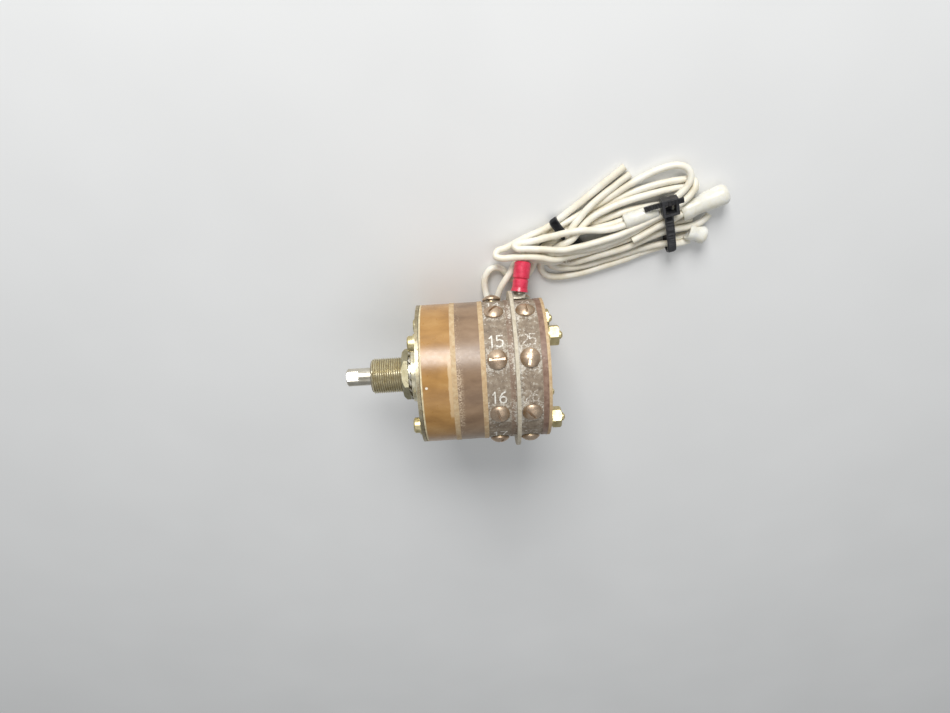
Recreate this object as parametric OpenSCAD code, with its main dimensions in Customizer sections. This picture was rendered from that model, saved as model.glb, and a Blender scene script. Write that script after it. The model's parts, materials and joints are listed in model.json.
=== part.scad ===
// Wirewound rheostat with two tap decks, for panel mounting, with a tied hank of leads.
// The shaft axis lies along X with the shaft's tip towards +X. The origin is on the axis,
// in the plane of the mounting seat. The part lies on its side: +Z is up, and the first
// terminal row faces -Y.

/* [Shaft] */
// Diameter of the round shaft
shaft_d = 6.35; // [5:0.05:7]
// Length of the shaft from the mounting seat to its tip
shaft_reach = 23.8; // [20:0.1:40]
// Length of the flat at the shaft's tip
shaft_flat_len = 4.2; // [2:0.1:6]
// Depth of the flat below the round surface
shaft_flat_depth = 0.45; // [0.2:0.05:0.7]
// Chamfer at the shaft's tip
shaft_chamfer = 0.45; // [0.2:0.05:0.8]
// Diameter of the shoulder that keeps the shaft in the bushing
shoulder_d = 10.4; // [9.8:0.1:11]
// Thickness of the shoulder
shoulder_t = 1; // [0.8:0.1:1.2]
// Width across the two flats of the shaft inside the case
drive_flats = 4.9; // [4.4:0.1:5.4]
// Diameter of the rear journal
rear_journal_d = 4; // [3:0.1:4.4]
// Radial clearance of the running fits
running_fit = 0.04; // [0.02:0.01:0.1]

/* [Mounting] */
// Outside diameter of the threaded bushing
bushing_d = 12.7; // [12:0.05:13.4]
// Length of the bushing from the seat to its front end
bushing_reach = 14.8; // [12:0.1:18]
// Chamfer at the bushing's front end
bushing_chamfer = 0.8; // [0.4:0.1:1.2]
// Width of the thread run-out groove
runout_len = 0.6; // [0.4:0.1:0.8]
// Depth of the thread run-out groove
runout_depth = 0.7; // [0.4:0.1:0.9]
// Diameter of the raised seat
seat_d = 20; // [19:0.1:22]
// Height of the raised seat above the collar
seat_t = 1.45; // [1:0.05:2]
// Diameter of the collar on the front plate
collar_d = 24.8; // [23:0.1:27]
// Thickness of the collar
collar_t = 1.4; // [1:0.05:2]
// Diameter of the bushing's spigot through the plates
spigot_d = 16; // [15:0.1:17]
// Diameter of the rolled rim behind the plates
rim_d = 17.6; // [17.2:0.1:19]
// Thickness of the rolled rim
rim_t = 0.6; // [0.4:0.05:0.8]
// Width of the panel nut across its flats
nut_flats = 15.875; // [15:0.005:17]
// Thickness of the panel nut
nut_t = 2.3; // [2:0.05:3]
// Diameter of the toothed washer over its teeth
washer_d = 18.4; // [17.6:0.1:19.4]
// Space that the toothed washer takes between nut and seat
washer_t = 1.2; // [1:0.05:1.5]
// Number of teeth on the toothed washer
washer_teeth = 16; // [10:1:20]

/* [Case] */
// Diameter of the case
case_d = 49; // [47:0.1:52]
// Thickness of the front plate
front_plate_t = 1.15; // [0.8:0.05:1.5]
// Thickness of the gasket behind the front plate
gasket_t = 0.2; // [0.1:0.05:0.4]
// Thickness of the backing plate
backing_t = 0.55; // [0.4:0.05:0.8]
// Length of the element housing
element_len = 9.8; // [9.6:0.1:12]
// Thickness of the element base plate
base_t = 1.7; // [1.2:0.1:2.2]
// Length of the stop housing
stop_len = 8.1; // [7.6:0.1:10]
// Thickness of the insulating plate
insulator_t = 1.6; // [1.2:0.1:2]
// Wall of the two housings
wall = 2.2; // [1.8:0.1:2.6]
// Thickness of the rear plate
rear_t = 1; // [0.8:0.1:1.4]
// How far the laminate edges stand proud of the housings
edge_proud = 0.1; // [0.05:0.05:0.2]

/* [Decks] */
// Length of a deck with its rear strip
deck_len = 9.6; // [9.2:0.1:11]
// Length of the smooth strip at a deck's rear
strip_len = 1.9; // [1.5:0.1:2.2]
// How far a deck's terminal face lies inside the case's surface
face_step = 0.2; // [0.1:0.05:0.3]
// Bore of a deck
deck_bore_d = 31; // [30:0.1:33]
// Diameter of the barrier disc between the decks
barrier_d = 55.4; // [55.2:0.1:60]
// Thickness of the barrier disc
barrier_t = 1.2; // [0.8:0.1:1.6]
// Diameter of a contact
contact_d = 5.2; // [4.8:0.1:5.6]
// Distance from the axis to the inner end of a contact
contact_inner_r = 14.2; // [13.8:0.1:15]
// Depth of the threaded hole in a contact
contact_thread_depth = 5; // [4.4:0.1:5.2]
// How far a contact's outer end stands above the deck's face
contact_proud = 0.1; // [0.1:0.05:0.2]

/* [Fasteners] */
// Diameter of the circle of tie bolts
bolt_circle_d = 41; // [40.6:0.1:41.4]
// Shank diameter of a tie bolt
bolt_d = 2.85; // [2.5:0.05:3.1]
// Head diameter of a tie bolt
bolt_head_d = 5.4; // [5:0.1:5.8]
// Head height of a tie bolt
bolt_head_t = 2.1; // [1.6:0.1:2.6]
// How far a tie bolt stands out of its nut
bolt_end = 1.3; // [0.6:0.1:2]
// Diameter of a tie bolt washer
bolt_washer_d = 6.6; // [6:0.1:7]
// Thickness of a tie bolt washer
bolt_washer_t = 0.6; // [0.4:0.05:0.8]
// Width of a tie bolt nut across its flats
bolt_nut_flats = 6.35; // [5.8:0.05:6.6]
// Thickness of a tie bolt nut
bolt_nut_t = 3.05; // [2.4:0.05:3.4]
// Head diameter of a terminal screw
screw_head_d = 6.6; // [6:0.1:6.9]
// Head height of a terminal screw
screw_head_t = 2; // [1.6:0.1:2.2]
// Shank diameter of a terminal screw
screw_d = 3.4; // [3:0.05:3.5]
// Shank length of a terminal screw
screw_len = 4.6; // [4:0.1:5]
// Width of a terminal screw's slot
screw_slot_w = 0.9; // [0.6:0.05:1.2]
// Depth of a terminal screw's slot
screw_slot_depth = 0.9; // [0.6:0.05:1.1]
// Clearance between a fastener and its hole, on the radius
hole_clear = 0.15; // [0.1:0.05:0.2]
// Clearance between a screw thread and its nut or insert, on the radius
thread_clear = 0.05; // [0.03:0.01:0.08]

/* [Element] */
// Inner diameter of the ring core
core_inner_d = 22; // [21:0.1:22.6]
// Outer diameter of the ring core
core_outer_d = 32; // [31:0.1:32.4]
// Thickness of the ring core
core_t = 4; // [3.6:0.1:4.2]
// Thickness of the wound layer
winding_t = 0.35; // [0.3:0.05:0.4]
// How far a turn stands out of the wound layer
turn_proud = 0.12; // [0.06:0.02:0.16]
// Number of ribs that stand for the turns
turns = 62; // [30:1:70]
// Angle that an end clip covers
clip_angle = 5; // [4:0.5:7]
// Diameter of a link rod
rod_d = 1.6; // [1.2:0.1:1.7]
// Distance from the axis to the link rods
rod_circle_r = 18; // [17.8:0.05:18.1]

/* [Rotor] */
// Outside diameter of the insulating spindle
spindle_d = 9.2; // [8.8:0.1:9.6]
// Wall of the common tube
tube_wall = 0.5; // [0.3:0.05:0.6]
// Clearance of the pieces that are pushed onto the spindle, on the radius
push_fit = 0.05; // [0.03:0.01:0.08]
// Diameter of the hubs on the common tube
hub_d = 14.4; // [13.6:0.1:15]
// Thickness of the wiper arm
arm_t = 0.5; // [0.4:0.05:0.6]
// Width of the wiper arm
arm_w = 4.4; // [4:0.1:5]
// Diameter of the wiper brush
brush_d = 3.4; // [3:0.1:3.6]
// Length of the wiper brush
brush_len = 1.3; // [1.1:0.1:1.4]
// Gap between a moving contact and what it runs on
contact_gap = 0.3; // [0.25:0.05:0.4]
// Thickness of the stop arm
stop_arm_t = 3.2; // [2.5:0.1:4]
// Distance from the axis to the stop pin
stop_pin_circle_r = 12; // [11.6:0.1:12.6]
// Diameter of the stop pin
stop_pin_d = 3; // [2.6:0.1:3.4]
// Gap left between stop arm and stop pin at the end of travel
stop_gap = 0.12; // [0.06:0.02:0.2]
// Width of a deck blade
blade_w = 4; // [3.4:0.1:4.6]
// Thickness of a deck blade
blade_t = 1.2; // [1:0.1:1.5]
// Thickness of the front thrust washer
thrust_t = 0.3; // [0.2:0.05:0.4]

/* [Leads] */
// Outside diameter of a lead
lead_d = 2.4; // [2.2:0.05:2.5]
// Diameter of the bare wire in a lead
bare_d = 0.8; // [0.6:0.05:0.9]
// Thickness of the ring lug
lug_t = 0.8; // [0.6:0.05:0.9]
// Diameter of the ring lug round its screw
lug_ring_d = 7.2; // [6.8:0.1:7.4]
// Width of the lug's tongue
lug_tongue_w = 4.6; // [4:0.1:5]
// Diameter of the lug's barrel
lug_barrel_d = 3.6; // [3.2:0.1:3.8]
// Diameter of the lug's sleeve
sleeve_d = 6; // [5.6:0.1:6.2]
// Length of the lug's sleeve
sleeve_len = 10.8; // [10:0.1:12]
// Height of the tied hank
hank_h = 7.5; // [6.5:0.1:8]
// Width of a cable tie's strap
strap_w = 2.4; // [2:0.1:3]
// Thickness of a cable tie's strap
strap_t = 1; // [0.8:0.05:1]
// Diameter of the large splice cap
large_cap_d = 7.6; // [7:0.1:7.8]
// Length of the large splice cap
large_cap_len = 17; // [14:0.1:17.4]
// Diameter of the small splice cap
small_cap_d = 6.6; // [6:0.1:6.8]
// Length of the small splice cap
small_cap_len = 7.4; // [6:0.1:8]

/* [Hidden] */
$fn = 72;
cut = 1;

// Angles about the axis, from +Y towards +Z
terminal_count = 8;
terminal_pitch = 360 / terminal_count;
bolt_angles = [67.5, 157.5, 247.5, 337.5];
rest_angle = 135;
stop_angle = 337.5;
first_end_angle = stop_angle + terminal_pitch / 2 - 360;
last_end_angle = stop_angle - terminal_pitch / 2;
lead_terminal_angle = 225;

// Stations along the axis, each the front face of what is named
collar_x = -seat_t;
plate_x = collar_x - collar_t;
gasket_x = plate_x - front_plate_t;
backing_x = gasket_x - gasket_t;
element_x = backing_x - backing_t;
base_x = element_x - element_len;
stop_x = base_x - base_t;
insulator_x = stop_x - stop_len;
deck_1_x = insulator_x - insulator_t;
barrier_x = deck_1_x - deck_len;
deck_2_x = barrier_x - barrier_t;
rear_x = deck_2_x - deck_len;
back_x = rear_x - rear_t;
deck_face_len = deck_len - strip_len;
terminal_1_x = deck_1_x - deck_face_len / 2;
terminal_2_x = deck_2_x - deck_face_len / 2;
nut_front_x = washer_t + nut_t;

// Radii
shaft_r = shaft_d / 2;
bore_r = shaft_r + running_fit;
case_r = case_d / 2;
laminate_r = case_r + edge_proud;
face_r = case_r - face_step;
spigot_hole_r = spigot_d / 2 + push_fit;
bolt_circle_r = bolt_circle_d / 2;
bolt_hole_r = bolt_d / 2 + hole_clear;
bolt_boss_r = bolt_hole_r + 1.6;
contact_r = contact_d / 2;
seat_r = face_r + contact_proud;
thread_hole_r = screw_d / 2 + thread_clear;
rod_hole_r = rod_d / 2 + hole_clear;
rod_socket_r = rod_d / 2 + thread_clear;
spindle_r = spindle_d / 2;
tube_inner_r = spindle_r + push_fit;
tube_r = tube_inner_r + tube_wall;
hub_bore_r = tube_r + push_fit;
shaft_hole_r = tube_r + 0.6;
rear_journal_r = rear_journal_d / 2;

// Rotor stations
rim_back_x = element_x - rim_t;
shoulder_x = rim_back_x - thrust_t - running_fit;
spindle_x = shoulder_x - shoulder_t;
tube_end_gap = 0.4;
tube_x = spindle_x - tube_end_gap;
bush_flange_t = 0.6;
bush_flange_x = rear_x + bush_flange_t;
spring_h = 1.05;
spring_metal_t = 0.3;
spindle_back_x = bush_flange_x + spring_h + 2 * running_fit;
tube_back_x = spindle_back_x + tube_end_gap;
bush_end = 0.3;
shaft_back_x = back_x - bush_end + running_fit;
bush_r = 3.4;
bush_flange_r = 5;

// Element stations
winding_back_x = base_x;
core_back_x = winding_back_x + winding_t + turn_proud;
core_front_x = core_back_x + core_t;
winding_front_x = core_front_x + winding_t + turn_proud;
core_inner_r = core_inner_d / 2;
core_outer_r = core_outer_d / 2;
track_r = (core_inner_r + core_outer_r) / 2;
brush_back_x = winding_front_x + contact_gap;
arm_back_x = brush_back_x + brush_len - arm_t;
hub_t = 1.5;
clip_tab_t = 1;
clip_tab_x = base_x + 1.6;
rod_front_x = clip_tab_x + clip_tab_t + 0.4;
rod_socket_depth = 1.2;
rod_back_x = terminal_1_x + contact_r - rod_socket_depth;

// Stop
stop_arm_half_w = stop_pin_circle_r * sin(terminal_pitch / 2) - stop_pin_d / 2 - stop_gap;
stop_arm_r = stop_pin_circle_r + stop_pin_d / 2 + 0.8;
stop_arm_x = (stop_x + insulator_x + stop_arm_t) / 2;
pin_tenon_r = 1;

// Fasteners
bolt_r = bolt_d / 2;
bolt_tip_x = back_x - bolt_washer_t - bolt_nut_t - bolt_end;
bolt_head_x = plate_x + bolt_washer_t;
tip_dome = 0.6;
lug_lift = lug_t;
hook_lift = bare_d;

// How the lug lies: its turn round the screw, the reach of its tongue, the leans of its barrel
lug_turn = -14;
lug_reach = 4.1;
barrel_lean = 10;
barrel_side_lean = 13;
sleeve_start = 2.2;
sleeve_neck = 4;

// Slot direction of each terminal screw in degrees, from the first angle round, deck by deck
slot_turns_1 = [20, 70, 110, 0, 45, 150, 95, 88];
slot_turns_2 = [60, 15, 130, 80, 100, 35, 170, 62];

// The surface that the part lies on, and the cords' places above it
floor_z = -barrier_d / 2;
hank_z = floor_z + strap_t;
hank_left = [-46, -41];
hank_left_r = 6.5;
hank_right = [-93, -41.5];
hank_right_r = 9;
tie_places = [[-59, -41, 15.6], [-91.5, -41.5, 18.4]];
tie_turns = [20, -6];
tie_head = [4.6, 5.2, 3.4];
large_cap_at = [-97.6, -45.6, -23.8];
large_cap_turn = 203;
small_cap_at = [-100.8, -38, -24.4];
small_cap_turn = 161;

// Routes of the free stretches of lead, from the terminal or the hank outwards
route_a = [
    [-28.9, -14.1, -21], [-28.5, -16, -22.9], [-28, -18.6, -24.2], [-27.8, -21.4, -24.9],
    [-28.5, -24.2, -25.4], [-30.2, -26.2, -25.9], [-32.5, -26.7, -26.3], [-34.7, -25.6, -26.4],
    [-36.4, -23.4, -26.4], [-38.2, -21.4, -26.4], [-40.6, -20.8, -26.3], [-43, -22, -26.2],
    [-45, -24.6, -26.3], [-46.6, -28, -26.4], [-48, -32.5, -26.2], [-49, -37, -25.2]
];
route_b = [
    [-32, -14.6, -20.5], [-32.2, -16.4, -21.6], [-32.9, -18.6, -22], [-33.9, -21, -22.2],
    [-35.6, -23.4, -22.8], [-37.4, -25.6, -24], [-39.2, -28, -25.4], [-41, -31, -26.2],
    [-42.6, -34.5, -26], [-44.6, -38, -25]
];
route_c = [
    [-41.9, -31.1, -21.5], [-42.3, -33.5, -22.6], [-43.2, -36.4, -22.4], [-46.5, -41, -21.8]
];
route_lower_loop = [
    [-60, -37.5, -24], [-54, -33.4, -24.4], [-49.8, -30.2, -24.8], [-48.6, -27.6, -24.2],
    [-50.2, -25.6, -24.6], [-54, -24.6, -25.8], [-60, -24.6, -26.4], [-67, -25.4, -26.4],
    [-74, -27, -26.4], [-81, -30, -26], [-88, -34.5, -25]
];
route_upper_loop = [
    [-63, -43.6, -21.8], [-68, -47.6, -23.2], [-73, -51.2, -24.8], [-78.6, -55.2, -26],
    [-84, -58.8, -26.4], [-88.8, -61, -26.3], [-93.2, -62.2, -26.1], [-96.6, -62, -25.6],
    [-99, -60.4, -24.9], [-99.5, -57.6, -24], [-97.6, -54.2, -23.2], [-94.2, -51.6, -22.3],
    [-90.4, -49.4, -21.6], [-87, -47.6, -21.4]
];
route_tail_1 = [[-54, -43, -22.6], [-62, -50.2, -24.6], [-69.4, -56.8, -26], [-76.6, -63, -26.4]];
route_tail_2 = [[-58, -43.2, -24.6], [-64, -48.6, -25.6], [-71.4, -54.6, -26.2], [-78.6, -60, -26.4]];
tube_sides = 8;
hank_arc_steps = 24;

// Places children on the axis, with their Z towards the shaft's tip
module on_axis(x) {
    translate([x, 0, 0]) rotate([0, 90, 0]) children();
}

// Places children beside the axis at angle a, with their Z towards the shaft's tip
module beside_axis(a, x, r) {
    rotate([a, 0, 0]) translate([x, r, 0]) rotate([0, 90, 0]) children();
}

// Places children at angle a, with their Z pointing away from the axis
module outward(a, x, r) {
    rotate([a, 0, 0]) translate([x, r, 0]) rotate([-90, 0, 0]) children();
}

// A disc with a round hole, from its front face at x
module disc(x, t, r, hole_r) {
    on_axis(x - t) difference() {
        cylinder(h = t, r = r);
        translate([0, 0, -cut]) cylinder(h = t + 2 * cut, r = hole_r);
    }
}

// Round holes along the axis, through everything from x back by len
module holes_beside(angles, x, len, circle_r, r) {
    for (a = angles) beside_axis(a, x - len - cut, circle_r) cylinder(h = len + 2 * cut, r = r);
}

// A laminate or metal plate with the four bolt holes
module bolted_plate(x, t, r, hole_r) {
    difference() {
        disc(x, t, r, hole_r);
        holes_beside(bolt_angles, x, t, bolt_circle_r, bolt_hole_r);
    }
}

// A moulded ring with a boss round each bolt
module housing(x, len) {
    on_axis(x - len) linear_extrude(len) difference() {
        circle(r = case_r);
        difference() {
            circle(r = case_r - wall);
            for (a = bolt_angles) rotate([0, 0, a + 90]) translate([bolt_circle_r, 0]) circle(r = bolt_boss_r);
        }
        for (a = bolt_angles) rotate([0, 0, a + 90]) translate([bolt_circle_r, 0]) circle(r = bolt_hole_r);
    }
}

// The double-D section of the shaft and its bores, along Z
module double_d(len, r, flats) {
    intersection() {
        cylinder(h = len, r = r);
        translate([-r, -flats / 2, 0]) cube([2 * r, flats, len]);
    }
}

module shaft() {
    groove_x = bushing_reach - 0.3;
    groove_len = 0.6;
    groove_r = shaft_r - 0.2;
    color("lightgray") difference() {
        union() {
            on_axis(0) rotate_extrude() polygon([
                [0, shaft_reach], [shaft_r - shaft_chamfer, shaft_reach], [shaft_r, shaft_reach - shaft_chamfer],
                [shaft_r, groove_x + groove_len], [groove_r, groove_x + groove_len], [groove_r, groove_x],
                [shaft_r, groove_x], [shaft_r, shoulder_x], [shoulder_d / 2, shoulder_x],
                [shoulder_d / 2, spindle_x], [0, spindle_x]
            ]);
            on_axis(spindle_back_x) double_d(spindle_x - spindle_back_x, shaft_r - 0.1, drive_flats);
            on_axis(shaft_back_x) cylinder(h = spindle_back_x - shaft_back_x, r = rear_journal_r);
        }
        rotate([rest_angle, 0, 0])
            translate([shaft_reach - shaft_flat_len, shaft_r - shaft_flat_depth, -shaft_r])
                cube([shaft_flat_len + cut, shaft_r, shaft_d]);
    }
}

module spindle() {
    color("saddlebrown") on_axis(spindle_back_x) difference() {
        cylinder(h = spindle_x - spindle_back_x, r = spindle_r);
        translate([0, 0, -cut])
            double_d(spindle_x - spindle_back_x + 2 * cut, shaft_r - 0.1 + push_fit, drive_flats + 2 * push_fit);
    }
}

module common_tube() {
    color("goldenrod") disc(tube_x, tube_x - tube_back_x, tube_r, tube_inner_r);
}

module wiper_arm() {
    arm_end_r = track_r + brush_d / 2;
    color("khaki") difference() {
        union() {
            on_axis(arm_back_x + arm_t - hub_t) cylinder(h = hub_t, r = hub_d / 2);
            rotate([rest_angle, 0, 0]) translate([arm_back_x, 0, -arm_w / 2]) cube([arm_t, arm_end_r - 0.6, arm_w]);
            beside_axis(rest_angle, arm_back_x, track_r) cylinder(h = arm_t, r = arm_w / 2);
        }
        on_axis(arm_back_x - hub_t - cut) cylinder(h = 2 * hub_t + 2 * cut, r = hub_bore_r);
    }
}

module wiper_brush() {
    color("dimgray") beside_axis(rest_angle, brush_back_x, track_r) cylinder(h = arm_back_x - brush_back_x, r = brush_d / 2);
}

module stop_arm() {
    color("peru") difference() {
        union() {
            on_axis(stop_arm_x - stop_arm_t) cylinder(h = stop_arm_t, r = hub_d / 2);
            intersection() {
                rotate([rest_angle, 0, 0]) translate([stop_arm_x - stop_arm_t, 0, -stop_arm_half_w])
                    cube([stop_arm_t, stop_arm_r + cut, 2 * stop_arm_half_w]);
                on_axis(stop_arm_x - stop_arm_t) cylinder(h = stop_arm_t, r = stop_arm_r);
            }
        }
        on_axis(stop_arm_x - stop_arm_t - cut) cylinder(h = stop_arm_t + 2 * cut, r = hub_bore_r);
    }
}

// A hub with one arm that reaches out to the contacts of a deck
module deck_blade(x) {
    blade_hub_t = 2.4;
    pad_len = 3.4;
    pad_inner_r = contact_inner_r - 1.8;
    blade_r = contact_inner_r - contact_gap;
    difference() {
        union() {
            on_axis(x - blade_hub_t / 2) cylinder(h = blade_hub_t, r = hub_d / 2);
            intersection() {
                rotate([rest_angle, 0, 0]) union() {
                    translate([x - blade_t / 2, 0, -blade_w / 2]) cube([blade_t, blade_r, blade_w]);
                    translate([x - pad_len / 2, pad_inner_r, -blade_w / 2]) cube([pad_len, cut * 2, blade_w]);
                }
                on_axis(x - pad_len) cylinder(h = 2 * pad_len, r = blade_r);
            }
        }
        on_axis(x - blade_hub_t) cylinder(h = 2 * blade_hub_t, r = hub_bore_r);
    }
}

module deck_blades() {
    color("gold") for (x = [terminal_1_x, terminal_2_x]) deck_blade(x);
}

module spring_washer() {
    inner_r = rear_journal_r + 0.4;
    outer_r = inner_r + 2;
    color("silver") on_axis(bush_flange_x + running_fit) rotate_extrude() polygon([
        [inner_r, spring_h - spring_metal_t], [outer_r, 0], [outer_r, spring_metal_t], [inner_r, spring_h]
    ]);
}

module mounting_bushing() {
    r = bushing_d / 2;
    runout_x = nut_front_x - runout_len;
    color("tan") on_axis(0) rotate_extrude() polygon([
        [bore_r, bushing_reach], [r - bushing_chamfer, bushing_reach], [r, bushing_reach - bushing_chamfer],
        [r, nut_front_x], [r - runout_depth, nut_front_x], [r - runout_depth, runout_x], [r, runout_x], [r, 0],
        [seat_d / 2, 0], [seat_d / 2, collar_x], [collar_d / 2, collar_x], [collar_d / 2, plate_x],
        [spigot_d / 2, plate_x], [spigot_d / 2, element_x], [rim_d / 2, element_x], [rim_d / 2, rim_back_x],
        [bore_r, rim_back_x]
    ]);
}

// A hexagon with chamfered corners and a round hole, from z = 0 up
module hex_nut(flats, t, hole_r) {
    corner_r = flats / sqrt(3);
    chamfer = (corner_r - flats / 2) * 0.8;
    difference() {
        intersection() {
            cylinder(h = t, r = corner_r, $fn = 6);
            union() {
                cylinder(h = t - chamfer, r = corner_r + cut);
                translate([0, 0, t - chamfer]) cylinder(h = chamfer, r1 = corner_r, r2 = corner_r - chamfer);
            }
        }
        translate([0, 0, -cut]) cylinder(h = t + 2 * cut, r = hole_r);
    }
}

module panel_nut() {
    nut_turn = 8;
    color("burlywood") on_axis(washer_t) rotate([0, 0, nut_turn]) hex_nut(nut_flats, nut_t, bushing_d / 2 + thread_clear);
}

module lock_washer() {
    ring_r = washer_d / 2 - 1.5;
    ring_t = washer_t * 0.55;
    tooth = [2.4, 1.3, 0.5];
    tooth_twist = 24;
    tooth_x = washer_t / 2;
    color("tan") union() {
        disc((washer_t + ring_t) / 2, ring_t, ring_r, bushing_d / 2 + hole_clear);
        for (i = [0 : washer_teeth - 1])
            rotate([i * 360 / washer_teeth, 0, 0]) translate([tooth_x, washer_d / 2 - tooth[0] / 2, 0])
                rotate([0, tooth_twist, 0]) cube([tooth[2], tooth[0], tooth[1]], center = true);
    }
}

module front_plate() {
    color("lightgoldenrodyellow") bolted_plate(plate_x, front_plate_t, case_r, spigot_hole_r);
}

module plate_gasket() {
    gasket_inset = 0.4;
    color("black") bolted_plate(gasket_x, gasket_t, case_r - gasket_inset, spigot_hole_r);
}

module backing_plate() {
    color("wheat") bolted_plate(backing_x, backing_t, case_r, spigot_hole_r);
}

module element_housing() {
    color("sienna") housing(element_x, element_len);
}

module element_core() {
    color("beige") disc(core_front_x, core_t, core_outer_r - push_fit, core_inner_r + push_fit);
}

// Part of a rectangular sleeve round the core, from angle a0 on, between two distances from the core
module core_sleeve(a0, span, inner, outer) {
    rotate([a0, 0, 0]) on_axis(0) rotate([0, 0, 90]) rotate_extrude(angle = span) difference() {
        translate([core_inner_r - outer, core_back_x - outer])
            square([core_outer_r - core_inner_r + 2 * outer, core_t + 2 * outer]);
        translate([core_inner_r - inner, core_back_x - inner])
            square([core_outer_r - core_inner_r + 2 * inner, core_t + 2 * inner]);
    }
}

module element_winding() {
    start = first_end_angle + clip_angle / 2;
    span = last_end_angle - first_end_angle - clip_angle;
    pitch = span / turns;
    rib_share = 0.6;
    color("darkkhaki") union() {
        core_sleeve(start, span, 0, winding_t);
        for (i = [0 : turns - 1])
            core_sleeve(start + (i + (1 - rib_share) / 2) * pitch, pitch * rib_share, winding_t / 2, winding_t + turn_proud);
    }
}

module end_clips() {
    tab_w = 3;
    root_w = 1.1;
    root_r = core_outer_r + winding_t / 2;
    tab_start_r = core_outer_r + winding_t + turn_proud + 0.15;
    tab_r = rod_circle_r + rod_d / 2 + 0.6;
    color("goldenrod") for (a = [first_end_angle, last_end_angle]) difference() {
        union() {
            core_sleeve(a - clip_angle / 2 + 0.2, clip_angle - 0.4, 0, winding_t + turn_proud);
            rotate([a, 0, 0]) translate([clip_tab_x, root_r, -root_w / 2])
                cube([clip_tab_t, tab_r - root_r, root_w]);
            rotate([a, 0, 0]) translate([clip_tab_x, tab_start_r, -tab_w / 2])
                cube([clip_tab_t, tab_r - tab_start_r, tab_w]);
        }
        beside_axis(a, clip_tab_x - cut, rod_circle_r) cylinder(h = clip_tab_t + 2 * cut, r = rod_socket_r);
    }
}

module link_rods() {
    color("goldenrod") for (a = [first_end_angle, last_end_angle])
        beside_axis(a, rod_back_x, rod_circle_r) cylinder(h = rod_front_x - rod_back_x, r = rod_d / 2);
}

// A laminate disc with holes for the bolts, the link rods and the stop pin's tenon
module laminate_disc(x, t) {
    difference() {
        bolted_plate(x, t, laminate_r, shaft_hole_r);
        holes_beside([first_end_angle, last_end_angle], x, t, rod_circle_r, rod_hole_r);
        holes_beside([stop_angle], x, t, stop_pin_circle_r, pin_tenon_r + push_fit);
    }
}

module element_base() {
    color("tan") laminate_disc(base_x, base_t);
}

module thrust_washer() {
    color("silver") disc(rim_back_x, thrust_t, shoulder_d / 2, bore_r);
}

module stop_housing() {
    color("rosybrown") housing(stop_x, stop_len);
}

module stop_pin() {
    tenon_len = 1.2;
    color("silver") beside_axis(stop_angle, 0, stop_pin_circle_r) union() {
        translate([0, 0, insulator_x]) cylinder(h = stop_len, r = stop_pin_d / 2);
        translate([0, 0, insulator_x - tenon_len]) cylinder(h = stop_len + 2 * tenon_len, r = pin_tenon_r);
    }
}

module insulating_plate() {
    color("tan") laminate_disc(insulator_x, insulator_t);
}

// A deck with its recessed terminal face in front of a smooth strip
module deck(x, terminal_x) {
    difference() {
        union() {
            disc(x, deck_face_len, face_r, deck_bore_d / 2);
            disc(x - deck_face_len, strip_len, case_r, deck_bore_d / 2);
        }
        holes_beside(bolt_angles, x, deck_len, bolt_circle_r, bolt_hole_r);
        for (i = [0 : terminal_count - 1])
            outward(i * terminal_pitch, terminal_x, deck_bore_d / 2 - cut) cylinder(h = case_r, r = contact_r + push_fit);
    }
}

module deck_1() {
    color("rosybrown") difference() {
        deck(deck_1_x, terminal_1_x);
        holes_beside([first_end_angle, last_end_angle], deck_1_x, 2, rod_circle_r, rod_hole_r);
    }
}

// Eight contacts whose outer ends take the terminal screws
module contacts(terminal_x) {
    difference() {
        for (i = [0 : terminal_count - 1]) outward(i * terminal_pitch, terminal_x, contact_inner_r - 1) difference() {
            cylinder(h = seat_r - contact_inner_r + 1, r = contact_r);
            translate([0, 0, seat_r - contact_inner_r + 1 - contact_thread_depth])
                cylinder(h = contact_thread_depth + cut, r = thread_hole_r);
        }
        on_axis(terminal_x - contact_d) cylinder(h = 2 * contact_d, r = contact_inner_r);
    }
}

module deck_1_contacts() {
    color("goldenrod") difference() {
        contacts(terminal_1_x);
        for (a = [first_end_angle, last_end_angle])
            beside_axis(a, rod_back_x, rod_circle_r) cylinder(h = contact_d, r = rod_socket_r);
    }
}

module barrier() {
    color("darkkhaki") bolted_plate(barrier_x, barrier_t, barrier_d / 2, shaft_hole_r);
}

module deck_2() {
    color("rosybrown") deck(deck_2_x, terminal_2_x);
}

module deck_2_contacts() {
    color("goldenrod") contacts(terminal_2_x);
}

// A slotted screw with a domed head, its seat at z = 0
module slotted_screw(turn, lift) {
    head_rim_t = 0.5;
    head_r = screw_head_d / 2;
    dome_h = screw_head_t - head_rim_t;
    dome_r = (head_r * head_r + dome_h * dome_h) / (2 * dome_h);
    translate([0, 0, lift]) difference() {
        union() {
            intersection() {
                cylinder(h = screw_head_t, r = head_r);
                translate([0, 0, screw_head_t - dome_r]) sphere(r = dome_r);
            }
            translate([0, 0, -screw_len]) cylinder(h = screw_len + head_rim_t, r = screw_d / 2);
        }
        rotate([0, 0, turn]) translate([-head_r - cut, -screw_slot_w / 2, screw_head_t - screw_slot_depth])
            cube([2 * head_r + 2 * cut, screw_slot_w, screw_head_t]);
    }
}

// The screws of one deck, with the one that holds a lead lifted by what it clamps
module deck_screws(terminal_x, slot_turns, lift) {
    for (i = [0 : terminal_count - 1])
        outward(i * terminal_pitch, terminal_x, seat_r)
            slotted_screw(slot_turns[i], i * terminal_pitch == lead_terminal_angle ? lift : 0);
}

module terminal_screws() {
    color("peru") union() {
        deck_screws(terminal_1_x, slot_turns_1, hook_lift);
        deck_screws(terminal_2_x, slot_turns_2, lug_lift);
    }
}

module rear_plate() {
    color("tan") bolted_plate(rear_x, rear_t, laminate_r, bush_r + push_fit);
}

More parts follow.
